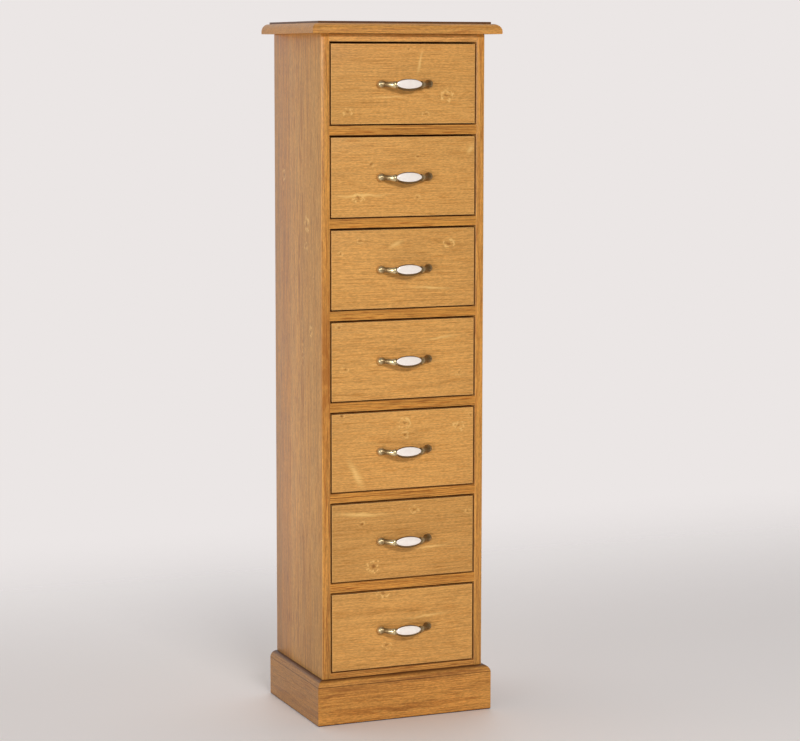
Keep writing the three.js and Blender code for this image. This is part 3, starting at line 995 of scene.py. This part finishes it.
def plinth_board(low, high, proud, mitres):
    """A board whose upper outer edge is rounded. Proud is the way it faces, mitres are its cuts."""
    shape = bmesh.new()
    tone = shape.faces.layers.float.new("tone")
    add_block(shape, low, high)
    middle = (low + high) / 2
    round_over(shape, edges_towards(shape, middle, UP, proud), PLINTH_ROUND, PLINTH_STEPS)
    for face in shape.faces:
        height = high.z - face.calc_center_median().z
        if face.normal.z > PLINTH_TOP_DARK_FACING and height < PLINTH_TOP_DARK_HEIGHT:
            face[tone] = PLINTH_TOP_DARK * (1 - height / PLINTH_TOP_DARK_HEIGHT)
        if face.normal.z > PLINTH_LINE_FACING and height > PLINTH_LINE_FROM:
            face[tone] = PLINTH_LINE
    # The eased foot edge is painted dark: a painted shadow along the floor.
    foot = edges_towards(shape, middle, -UP, proud)
    for face in round_over(shape, foot, PLINTH_FOOT_EASING, PLINTH_FOOT_STEPS):
        face[tone] = PAINTED_GAP_SHADE
    for point, normal in mitres:
        saw(shape, point, normal)
    return shape


front_low, front_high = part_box("plinth_front")
print("plinth boards are", round((front_high.y - front_low.y) / MM), "mm thick")

# %% Plinth
MITRE_GAP = 0.3 * MM
PLINTH_SEED = 11.0
PLINTH_HEART_UP = 20 * MM
FRONT_HEART_IN = 40 * MM
END_HEART_IN = 30 * MM
PLINTH_STAINS = (
    (-0.13, 0.072, 170, 13, -3),
    (0.02, 0.08, 200, 8, 1),
    (0.12, 0.083, 130, 7, 0),
    (-0.16, 0.06, 90, 8, 6),
)
FRONT_PLINTH_LOOK = {"contrast": 0.6, "stains_and_shadows": PLINTH_STAINS, "stain": KNOT_COLOUR, "polish": 0.2}
END_PLINTH_LOOK = {"contrast": 0.4, "brightness": 0.64, "polish": POLISH}
corner_left = Vector((front_low.x, front_low.y, 0))
corner_right = Vector((front_high.x, front_low.y, 0))
back_off = BACK * MITRE_GAP
way_left = Vector((-1, 1, 0)).normalized()
way_right = Vector((1, 1, 0)).normalized()
plinths = (
    ("front", "XZY", -BACK, ((corner_left, way_left), (corner_right, way_right))),
    ("left", "YZX", -RIGHT, ((corner_left + back_off, -way_left),)),
    ("right", "YZX", RIGHT, ((corner_right + back_off, -way_right),)),
)
for number, (side, order, proud, mitres) in enumerate(plinths):
    node = f"plinth_{side}"
    low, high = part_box(node)
    heart, look = (PLINTH_HEART_UP, low.x + END_HEART_IN), END_PLINTH_LOOK
    if side == "front":
        heart, look = (PLINTH_HEART_UP, low.y + FRONT_HEART_IN), FRONT_PLINTH_LOOK
    finish = pine(f"pine_plinth_{side}", order, heart, PLINTH_SEED + number, PLINTH_COLOURS, **look)
    shape = plinth_board(low, high, proud, mitres)
    make_piece(shape, f"moulded_plinth_{side}", [finish], BODY, (node,))
print("plinth:", round(front_high.z / MM), "mm high")

# %% [markdown]
# ## Drawer fronts
# Seven inset fronts, each a planed board with its arrises rounded over. Where the arris meets the
# face it is painted pale, a painted highlight, and its deeper half is painted dark, a painted shade
# that makes the gap look wider than it is. Each front has its own tree: its seed, the place of the
# heart behind it, and the knots and flames that the real one shows, given in millimetres from its
# middle as along, up and size, or as along, up, length, width and slope. Dark knots are smears over
# the same places. A front's shades are how bright it is at its left end against its middle, which
# is a painted shade, and how bright it is altogether.

# %% Marks of the fronts
KNOTS = {
    1: ((91, -23, 6), (-118, -55, 4), (48, -60, 3.5), (9, 68, 2.5)),
    2: ((-70, 25, 3), (-98, -40, 5), (29, -42, 3), (31, 39, 2.5)),
    3: ((-134, 33, 3), (97, 48, 5), (-91, 58, 3)),
    4: ((-124, -14, 4), (-138, 69, 3), (121, -31, 4)),
    5: ((-132, 75, 3), (1, 53, 6), (4, 30, 4), (122, 41, 5), (147, 62, 3)),
    6: ((-64, -52, 6), (-89, 36, 3), (24, 58, 4), (143, 48, 3)),
    7: ((-44, 74, 5), (-36, -33, 4)),
}
FLAMES = {
    1: ((35, 43, 44, 5, 78), (-30, -26, 60, 3, 2)),
    2: ((-92, -36, 110, 6, 1), (144, 51, 18, 10, 60)),
    3: ((-16, 48, 30, 9, 20), (60, -40, 90, 4.5, -3)),
    4: ((-7, -7, 130, 4, 0), (80, 40, 60, 4.5, 6)),
    5: ((-102, -44, 56, 14, -62),),
    6: ((-91, 56, 96, 8, -4), (60, -20, 70, 4.5, 4)),
    7: ((50, 20, 80, 4.5, 3),),
}
DARK_KNOTS = {
    2: ((-68, 24, 8, 4, 20),),
    5: ((-132, 75, 7, 6, 0),),
    6: ((-64, -52, 9, 8, 0), (-89, 36, 8, 6, 0)),
}
HEARTS = {1: (-30, 48), 2: (35, 60), 3: (10, 42), 4: (-45, 66), 5: (20, 50), 6: (-15, 58), 7: (40, 72)}
# Each front's brightness at its left end against its middle, a painted shade, and altogether.
SHADES = {
    1: (0.9, 0.97),
    2: (0.95, 0.98),
    3: (0.98, 0.955),
    4: (0.94, 0.985),
    5: (0.9, 1.01),
    6: (0.9, 0.88),
    7: (0.93, 0.94),
}


def from_middle(marks, middle):
    """Marks in millimetres from a board's middle, moved to their place in metres."""
    return [(middle.x + along * MM, middle.z + up * MM, *rest) for along, up, *rest in marks]


print("knots:", sum(map(len, KNOTS.values())), "flames:", sum(map(len, FLAMES.values())))

# %% Drawer fronts
FRONT_EASING = 1.6 * MM
# Tone of the painted highlight on the fronts' arrises.
FRONT_PAINTED_HIGHLIGHT = 0.45
FRONT_FACE_SIDE = 1 / 6
FRONT_LOOK = {"stain": KNOT_COLOUR, "contrast": 0.26, "grain": (0.75, 0.75), "polish": 0.05}
FIRST_FRONT_SEED = 20.0
SEED_BETWEEN_FRONTS = 1.7


def front_tone(centre):
    """The arris painted pale where it meets the face, a painted highlight, and dark on its deeper half, a
    painted shade.
    """
    depth = centre.y - rail_low.y
    if depth < FRONT_EASING * FRONT_FACE_SIDE:
        return FRONT_PAINTED_HIGHLIGHT
    return PAINTED_GAP_SHADE if depth < FRONT_EASING else 0


for day in DAYS:
    low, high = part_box(f"drawer_front_{day}")
    middle = (low + high) / 2
    up, deep = HEARTS[day]
    heart = (middle.z + up * MM, middle.y + deep * MM)
    marks = [from_middle(table.get(day, ()), middle) for table in (KNOTS, FLAMES, DARK_KNOTS)]
    painted_left_shade, shade = SHADES[day]
    # The left end is painted darker than the middle: a painted shade.
    look = FRONT_LOOK | {"brightness": shade, "foot": (low.x, 0, painted_left_shade)}
    seed = FIRST_FRONT_SEED + SEED_BETWEEN_FRONTS * day
    finish = pine(f"pine_front_{day}", "XZY", heart, seed, FRONT_COLOURS, *marks, **look)
    name, node = f"eased_front_{day}", f"drawer_front_{day}"
    new_board(name, node, finish, f"drawer_{day}", FRONT_EASING, front_tone)
print("drawer fronts:", len(DAYS), "of", [round(part / MM, 1) for part in high - low])

# %% [markdown]
# ## Drawer boxes
# Inside, each drawer is bare pine: two sides and a back, tongued together, round a plywood bottom
# in a groove. The sides' grain runs back and the back's runs across, so the piece has two finishes.
# The front edge of the box is hidden by the drawer front, and the top edges are rounded so as not
# to catch clothes.

# %% Drawer boxes
BOX_BOARD = 10 * MM
BOX_EASING = 1.0 * MM
PLAIN_COLOURS = (srgb(232, 207, 160), srgb(199, 152, 94))
PLAIN = {"colours": PLAIN_COLOURS, "grain": (0.5, 0.6), "varnished": False}
BOX_SIDE_HEART = (0.3, 0.02)
BOX_BACK_HEART = (0.3, 0.1)
BOX_SIDE = pine("plain_pine_back", "YZX", BOX_SIDE_HEART, seed=31.0, **PLAIN)
BOX_BACK = pine("plain_pine_across", "XZY", BOX_BACK_HEART, seed=37.0, **PLAIN)
for day in DAYS:
    low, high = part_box(f"drawer_box_{day}")
    bottom_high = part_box(f"drawer_bottom_{day}")[1].z
    inner_left, inner_right = low.x + BOX_BOARD, high.x - BOX_BOARD
    shape = bmesh.new()
    add_board(shape, low, Vector((inner_left, high.y, high.z)), BOX_EASING)
    add_board(shape, Vector((inner_right, low.y, low.z)), high, BOX_EASING)
    back_low = Vector((inner_left, high.y - BOX_BOARD, bottom_high))
    add_board(shape, back_low, Vector((inner_right, high.y, high.z)), BOX_EASING, finish=1)
    finishes, name = [BOX_SIDE, BOX_BACK], f"box_of_drawer_{day}"
    make_piece(shape, name, finishes, f"drawer_{day}", (f"drawer_box_{day}",))
print("drawer boxes:", len(DAYS))

# %% [markdown]
# ## Bare boards inside
# The drawer bottoms, the panels between the drawers, the base board and the glue blocks are flat
# boards whose solids are already right. They keep the frame's own objects, and only get a finish.

# %% Finishes of the hidden boards
BLOCK_HEART = (0.1, 0.05)
GLUE_BLOCK = pine("plain_pine_upright", "ZXY", BLOCK_HEART, seed=41.0, **PLAIN)


def refinish(node, finish):
    """Gives one of the frame's own objects a new finish."""
    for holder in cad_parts[node].material_slots:
        holder.material = finish


for day in DAYS:
    refinish(f"drawer_bottom_{day}", PLY_ACROSS)
for number in range(1, len(DAYS)):
    refinish(f"dust_panel_{number}", PLY_ACROSS)
refinish("base_board", PLY_ACROSS)
for side in ("left", "right"):
    refinish(f"glue_block_{side}", GLUE_BLOCK)
print("boards that keep their own shape:", 2 * len(DAYS) + 2)

# %% [markdown]
# ## The back and its pins
# The back is a sheet of plywood held by small flat-headed pins into the panels and the top. The
# sheet lies a hair inside the solid that it stands for, so that the pins' low domes end where the
# solid does. A pin's head is a circle that is lifted and drawn in, ring by ring.

# %% Steel
STEEL_COLOUR = srgb(120, 118, 116)
STEEL_LUMPS = (900, 900, 900)
STEEL_GLOSS = (0.3, 0.25)

steel, tree, shader = new_material("blued_steel")
scuff = noise(tree, object_place(tree), STEEL_LUMPS, detail=3.0)
sockets = {"Base Color": STEEL_COLOUR, "Metallic": 1.0}
fill(tree, shader, {**sockets, "Roughness": calc(tree, "MULTIPLY_ADD", scuff, *STEEL_GLOSS)})
print("metal of the pins and screws:", steel.name)

# %% Skins over rings
def add_loft(shape, frames, sides):
    """A closed skin through rings: each frame is the matrix that lays a unit circle in its place."""
    made = bmesh.ops.create_circle(shape, cap_ends=True, segments=sides, radius=1)["verts"]
    bmesh.ops.transform(shape, matrix=frames[0], verts=made)
    edges = list({edge for vert in made for edge in vert.link_edges})
    rings = [made]
    for before, after in zip(frames, frames[1:]):
        verts, edges, _ = loose_ends(bmesh.ops.extrude_edge_only(shape, edges=edges))
        bmesh.ops.transform(shape, matrix=after @ before.inverted(), verts=verts)
        rings.append(verts)
    bmesh.ops.edgeloop_fill(shape, edges=edges)
    return rings


def ring_frame(centre, way, first, second, first_radius, second_radius):
    """The matrix of an oval ring: its centre, the way it faces, and its two half sizes."""
    columns = (first * first_radius, second * second_radius, way)
    rotation = Matrix(columns).transposed().to_4x4()
    return Matrix.Translation(centre) @ rotation


print("helpers for skins:", add_loft.__name__, ring_frame.__name__)

# %% Back panel
PIN_RADIUS = 1.6 * MM
PIN_RISE = 0.35 * MM
PIN_PROFILE = ((1.0, 0.0), (1.0, 0.4), (0.8, 0.8), (0.4, 1.0))
PIN_SIDES = 16
PIN_IN_FROM_EDGE = 22 * MM
PIN_BELOW_TOP = 8 * MM
PIN_ABOVE_FOOT = 6 * MM
SHEET_EASING = 0.3 * MM

low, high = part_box("back_panel")
sheet_high = Vector((high.x, high.y - PIN_RISE, high.z))
shape = bmesh.new()
add_board(shape, low, sheet_high, SHEET_EASING)
make_piece(shape, "plywood_back", [PLY_UPRIGHT], BODY, ("back_panel",))
heights = [sum(part.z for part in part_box(f"dust_panel_{number}")) / 2 for number in range(1, len(DAYS))]
heights += [high.z - PIN_BELOW_TOP, low.z + PIN_ABOVE_FOOT]
shape = bmesh.new()
for z in heights:
    for x in (low.x + PIN_IN_FROM_EDGE, 0, high.x - PIN_IN_FROM_EDGE):
        frames = []
        for width, rise in PIN_PROFILE:
            centre = Vector((x, sheet_high.y + PIN_RISE * rise, z))
            frames.append(ring_frame(centre, BACK, RIGHT, UP, PIN_RADIUS * width, PIN_RADIUS * width))
        add_loft(shape, frames, PIN_SIDES)
make_piece(shape, "back_panel_pins", [steel], BODY)
print("pins:", 3 * len(heights))

# %% [markdown]
# ## Aged brass and glazed ceramic
# The handles are cast, dipped dark and rubbed back, so that the metal is brown in the hollows and
# brighter where fingers and the cloth reach. A polished metal with a brown tint would look plated.
# The casting carries an attribute of how far it was rubbed, fine noise breaks up its edge, and the
# same mask makes the worn places smoother and more metallic. The ceramic is nearly white, and its
# gloss is a clear coat over a softer ground, as a glaze is.

# %% Aged brass
DIPPED_BRASS = srgb(118, 88, 46)
RUBBED_BRASS = srgb(226, 206, 160)
RUBBED_RANGE = (0.2, 0.95)
BRASS_CLOUD = 0.6
BRASS_CLOUD_LUMPS = (300, 300, 300)
BRASS_GRAIN_LUMPS = (1400, 1400, 1400)
BRASS_GLOSS = (-0.14, 0.42)
BRASS_METAL = (0.4, 0.5)


def aged_brass():
    """Brass that was browned and rubbed back."""
    material, tree, shader = new_material("aged_brass")
    place = object_place(tree)
    rubbed = add_node(tree, "ShaderNodeAttribute", attribute_name="rubbed").outputs["Fac"]
    cloud = noise(tree, place, BRASS_CLOUD_LUMPS, detail=3.0, roughness=0.6)
    mask = ramp(tree, calc(tree, "ADD", rubbed, swing(tree, cloud, BRASS_CLOUD)), *RUBBED_RANGE)
    sockets = {"Base Color": blend_colours(tree, mask, DIPPED_BRASS, RUBBED_BRASS)}
    sockets["Roughness"] = calc(tree, "MULTIPLY_ADD", mask, *BRASS_GLOSS)
    sockets["Metallic"] = calc(tree, "MULTIPLY_ADD", mask, *BRASS_METAL)
    fill(tree, shader, sockets)
    roughen(tree, shader, noise(tree, place, BRASS_GRAIN_LUMPS), strength=0.25, distance=RELIEF / 2)
    return material


BRASS = aged_brass()
print("metal of the handles:", BRASS.name)

# %% Glazed ceramic
PALE_GLAZE = srgb(252, 243, 234)
WARM_GLAZE = srgb(249, 238, 229)
GLAZE_LUMPS = (160, 160, 160)
GLAZE_RANGE = (0.35, 0.65)
GLAZE = {"Roughness": 0.22, "Coat Weight": 0.8, "Coat Roughness": 0.06}


def glazed_ceramic():
    """White ware under a clear glaze, whose surface is a little uneven."""
    material, tree, shader = new_material("glazed_ceramic")
    cloud = noise(tree, object_place(tree), GLAZE_LUMPS)
    colour = blend_colours(tree, ramp(tree, cloud, *GLAZE_RANGE), PALE_GLAZE, WARM_GLAZE)
    fill(tree, shader, {"Base Color": colour, **GLAZE})
    roughen(tree, shader, cloud, strength=0.15)
    return material


CERAMIC = glazed_ceramic()
print("glaze of the ovals:", CERAMIC.name)

# %% [markdown]
# ## The bow handles
# Each handle is one casting: a ball at either end stands on the drawer, a neck rises from it in a
# bow, flares into a collar, and between the collars hangs an oval cup. It could be turned as
# separate parts, but the neck and ball flow into each other, so a single skin is drawn over rings
# that are laid along the bow, and the balls' rings come from the formula of a sphere. The cup is
# a second skin, drawn in the same way from its underside, round its lip and down into the pocket.
# Its bowl hangs a little lower than its pocket, and the bow beside it drops as much. Both are made
# about the middle of a drawer's face, with -Y out towards the room. The left end of each handle is
# brighter in the photograph than the right, which lies in shade, so the right is rubbed less: a
# painted shade.
# The rows are in millimetres: out, proud, half height, half thickness and drop for the bow, with
# its rubbing, and half length, half height, proud and drop for the cup.

# %% Rows of the bow
NECK_ROWS = (
    (0, 24.0, 5.4, 2.9, 1.4, 0.0),
    (14, 24.0, 5.6, 3.0, 1.4, 0.0),
    (22, 24.2, 6.0, 3.6, 1.4, 0.1),
    (26, 24.2, 6.8, 4.6, 1.4, 0.3),
    (27.8, 24.0, 7.2, 5.1, 1.35, 0.7),
    (29.0, 23.5, 7.2, 5.15, 1.3, 0.9),
    (30.6, 22.7, 6.9, 5.0, 1.25, 0.95),
    (32.8, 21.2, 6.5, 4.75, 1.15, 0.85),
    (35.6, 19.3, 6.0, 4.5, 1.0, 0.6),
    (39, 16.5, 5.5, 4.35, 0.75, 0.4),
    (42, 13.8, 5.2, 4.4, 0.5, 0.3),
    (44.3, 11.8, 5.4, 5.0, 0.25, 0.3),
    (46.2, 10.15, 6.2, 6.1, 0.1, 0.4),
    (47.84, 8.76, 7.1, 7.1, 0.0, 0.5),
)
ROW_STEPS = 4


def smooth_rows(rows, steps):
    """Rows with more rows between them, on a curve that passes through all of them."""
    given = [Vector(row) for row in rows]
    padded = [2 * given[0] - given[1], *given, 2 * given[-1] - given[-2]]
    made = []
    for before, start, end, after in zip(padded, padded[1:], padded[2:], padded[3:]):
        for step in range(steps):
            share = step / steps
            slope_in, slope_out = (end - before) / 2, (after - start) / 2
            first, second = 2 * share**3 - 3 * share**2 + 1, share**3 - 2 * share**2 + share
            third, fourth = 3 * share**2 - 2 * share**3, share**3 - share**2
            made.append(start * first + slope_in * second + end * third + slope_out * fourth)
    return [*made, given[-1]]


print("rows of the bow:", len(NECK_ROWS))

# %% Stations of the bow
BALL_STEPS = 14
BALL_TURN = 0.985
BALL_WEAR = 0.7
BALL_RADIUS = 8.2 * MM
BALL_OUT = 51 * MM
BALL_RISE = 6 * MM


def bar_stations():
    """Out, proud, half height, half thickness, drop and rubbing, from the bow's middle to its end."""
    stations = [(*(part * MM for part in row[:5]), row[5]) for row in smooth_rows(NECK_ROWS, ROW_STEPS)]
    neck_end = Vector(stations[-1][:2])
    ball = Vector((BALL_OUT, BALL_RISE))
    way = (ball - neck_end).normalized()
    start = math.acos(-(ball - neck_end).length / BALL_RADIUS)
    for step in range(1, BALL_STEPS + 1):
        turn = start * (1 - BALL_TURN * step / BALL_STEPS)
        place = ball + way * BALL_RADIUS * math.cos(turn)
        radius = BALL_RADIUS * math.sin(turn)
        stations.append((*place, radius, radius, 0, BALL_WEAR))
    return stations


STATIONS = bar_stations()
print("rings on half a bow:", len(STATIONS))

# %% Bow
BAR_SIDES = 32
RIGHT_END_PAINTED_SHADE = 0.62


def end_painted_shade(vert):
    """How much of the rubbing a point keeps: less on the right end, as painted shade."""
    return 1 if vert.co.x < 0 else RIGHT_END_PAINTED_SHADE


def add_bar(shape, rubbed):
    """The bow with its collars, necks and balls, as one skin from end to end."""
    both = [(-out, *rest) for out, *rest in reversed(STATIONS[1:])] + STATIONS
    places = [Vector((out, -proud, -drop)) for out, proud, _, _, drop, _ in both]
    frames = []
    for number, (_, _, high, thick, _, _) in enumerate(both):
        before, after = places[max(number - 1, 0)], places[min(number + 1, len(places) - 1)]
        way = (after - before).to_2d().normalized().to_3d()
        frames.append(ring_frame(places[number], way, UP.cross(way), UP, thick, high))
    for ring, station in zip(add_loft(shape, frames, BAR_SIDES), both):
        for vert in ring:
            vert[rubbed] = station[5] * end_painted_shade(vert)
    saw(shape, Vector((0, 0, 0)), BACK)


print("points round a bow:", BAR_SIDES)

# %% Cup
CUP_SIDES = 64
CUP_RUBBED_FROM = 22 * MM
CUP_RUB_GAIN = 4
CUP_WEAR = 0.9
CUP_ROWS = (
    (1.0, 1.0, 21.0, 0.0),
    (10.5, 5.0, 21.2, 0.4),
    (18.5, 8.4, 22.0, 1.0),
    (24.0, 10.6, 23.2, 1.4),
    (27.0, 11.6, 24.8, 1.5),
    (28.0, 11.9, 26.4, 1.5),
    (28.0, 11.9, 27.6, 1.5),
    (27.8, 11.6, 28.4, 1.45),
    (27.4, 10.7, 29.3, 1.0),
    (27.05, 9.9, 29.4, 0.5),
    (26.9, 9.5, 29.0, 0.1),
    (26.9, 9.4, 27.6, 0.0),
    (1.0, 1.0, 27.5, 0.0),
)


def add_cup(shape, rubbed):
    """The oval cup, from its underside round the lip to the floor of the pocket."""
    frames = [
        ring_frame(Vector((0, -proud * MM, -drop * MM)), -BACK, RIGHT, UP, long * MM, high * MM)
        for long, high, proud, drop in CUP_ROWS
    ]
    for ring in add_loft(shape, frames, CUP_SIDES):
        for vert in ring:
            past = (abs(vert.co.x) - CUP_RUBBED_FROM) / CUP_RUBBED_FROM
            vert[rubbed] = min(max(CUP_RUB_GAIN * past, 0), CUP_WEAR) * end_painted_shade(vert)


def handle_shape():
    """A whole casting, about the middle of a drawer's face."""
    shape = bmesh.new()
    rubbed = shape.verts.layers.float.new("rubbed")
    add_bar(shape, rubbed)
    add_cup(shape, rubbed)
    return shape


test = handle_shape()
print("a handle's skin has", len(test.faces), "faces")
test.free()

# %% [markdown]
# ## The ceramic ovals
# Each oval is a small slip-cast plate with a soft crown, glued into the cup. The same drawing of a
# skin over oval rings makes it: a flat back, an upright edge, a rounded shoulder and the crown,
# whose rings follow an ellipse.

# %% Ceramic shape
OVAL_LONG = 26.5
OVAL_HIGH = 9.0
OVAL_BACK = 27.8
OVAL_EDGE = 30.1
OVAL_CROWN = 1.9
BACK_HOLE = 0.05
CROWN_HOLE = 0.04
CROWN_STEPS = 12


def oval_shape():
    """The ceramic plate, about the middle of a drawer's face."""
    rows = [(BACK_HOLE, OVAL_BACK), (1.0, OVAL_BACK)]
    for step in range(CROWN_STEPS + 1):
        turn = math.pi / 2 * step / CROWN_STEPS
        rows.append((max(math.cos(turn), CROWN_HOLE), OVAL_EDGE + OVAL_CROWN * math.sin(turn)))
    frames = []
    for share, proud in rows:
        long, high = OVAL_LONG * share * MM, OVAL_HIGH * share * MM
        frames.append(ring_frame(BACK * -proud * MM, -BACK, RIGHT, UP, long, high))
    shape = bmesh.new()
    add_loft(shape, frames, CUP_SIDES)
    return shape


test = oval_shape()
print("an oval's skin has", len(test.faces), "faces")
test.free()

# %% [markdown]
# ## The screws
# Two pan-headed screws hold each handle from inside the drawer. Nobody sees them until a drawer is
# open, and then a bare board there looks wrong. The head is drawn as rings too. Its cross recess is
# one more ring, whose points are pulled towards the middle on the diagonals and then pushed in.

# %% Screw shape
SCREW_ROWS = (
    (4.0, 0.0),
    (4.0, 1.0),
    (3.75, 1.6),
    (3.2, 2.05),
    (2.5, 2.3),
    (2.2, 2.35),
    (2.0, 2.35),
    (1.3, 0.9),
)
SCREW_SIDES = 32
CROSS_FROM = 6
CROSS_DEPTH = 0.72
CROSS_SHARPNESS = 1.6


def cross_share(turn):
    """How far a point of the cross recess lies from the middle, by its angle."""
    diagonal = abs(math.sin(2 * turn))
    return 1 - CROSS_DEPTH * min(1, diagonal * CROSS_SHARPNESS)


def add_screw(shape, place):
    """A pan head on the inner face of a drawer front, with its recess towards the back."""
    frames = [
        ring_frame(BACK * rise * MM, BACK, RIGHT, UP, radius * MM, radius * MM)
        for radius, rise in SCREW_ROWS
    ]
    rings = add_loft(shape, frames, SCREW_SIDES)
    for ring in rings[CROSS_FROM:]:
        for vert in ring:
            share = cross_share(math.atan2(vert.co.z, vert.co.x))
            vert.co.x *= share
            vert.co.z *= share
    bmesh.ops.translate(shape, vec=place, verts=[vert for ring in rings for vert in ring])


print("a screw's head is", 2 * SCREW_ROWS[0][0], "mm across")

# %% [markdown]
# ## Fitting the handles
# On the bench each handle is held to the middle of its front, marked through its feet and screwed on
# from inside, and its oval is glued in last. Here each piece is drawn anew for every drawer and moved
# in its mesh, because a finished piece stays at the origin and rides on the body of its drawer.

# %% Place the fittings
for day in DAYS:
    low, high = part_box(f"drawer_front_{day}")
    face = Vector(((low.x + high.x) / 2, low.y, (low.z + high.z) / 2))
    body = f"drawer_{day}"
    shape = handle_shape()
    bmesh.ops.translate(shape, vec=face, verts=shape.verts)
    make_piece(shape, f"bow_handle_{day}", [BRASS], body, (f"handle_{day}",))
    shape = oval_shape()
    bmesh.ops.translate(shape, vec=face, verts=shape.verts)
    make_piece(shape, f"ceramic_oval_{day}", [CERAMIC], body, (f"handle_insert_{day}",))
    shape = bmesh.new()
    for side in (-1, 1):
        add_screw(shape, Vector((side * BALL_OUT, high.y, face.z)))
    make_piece(shape, f"handle_screws_{day}", [steel], body)
print("fitted", len(DAYS), "handles, each with its oval and two screws")
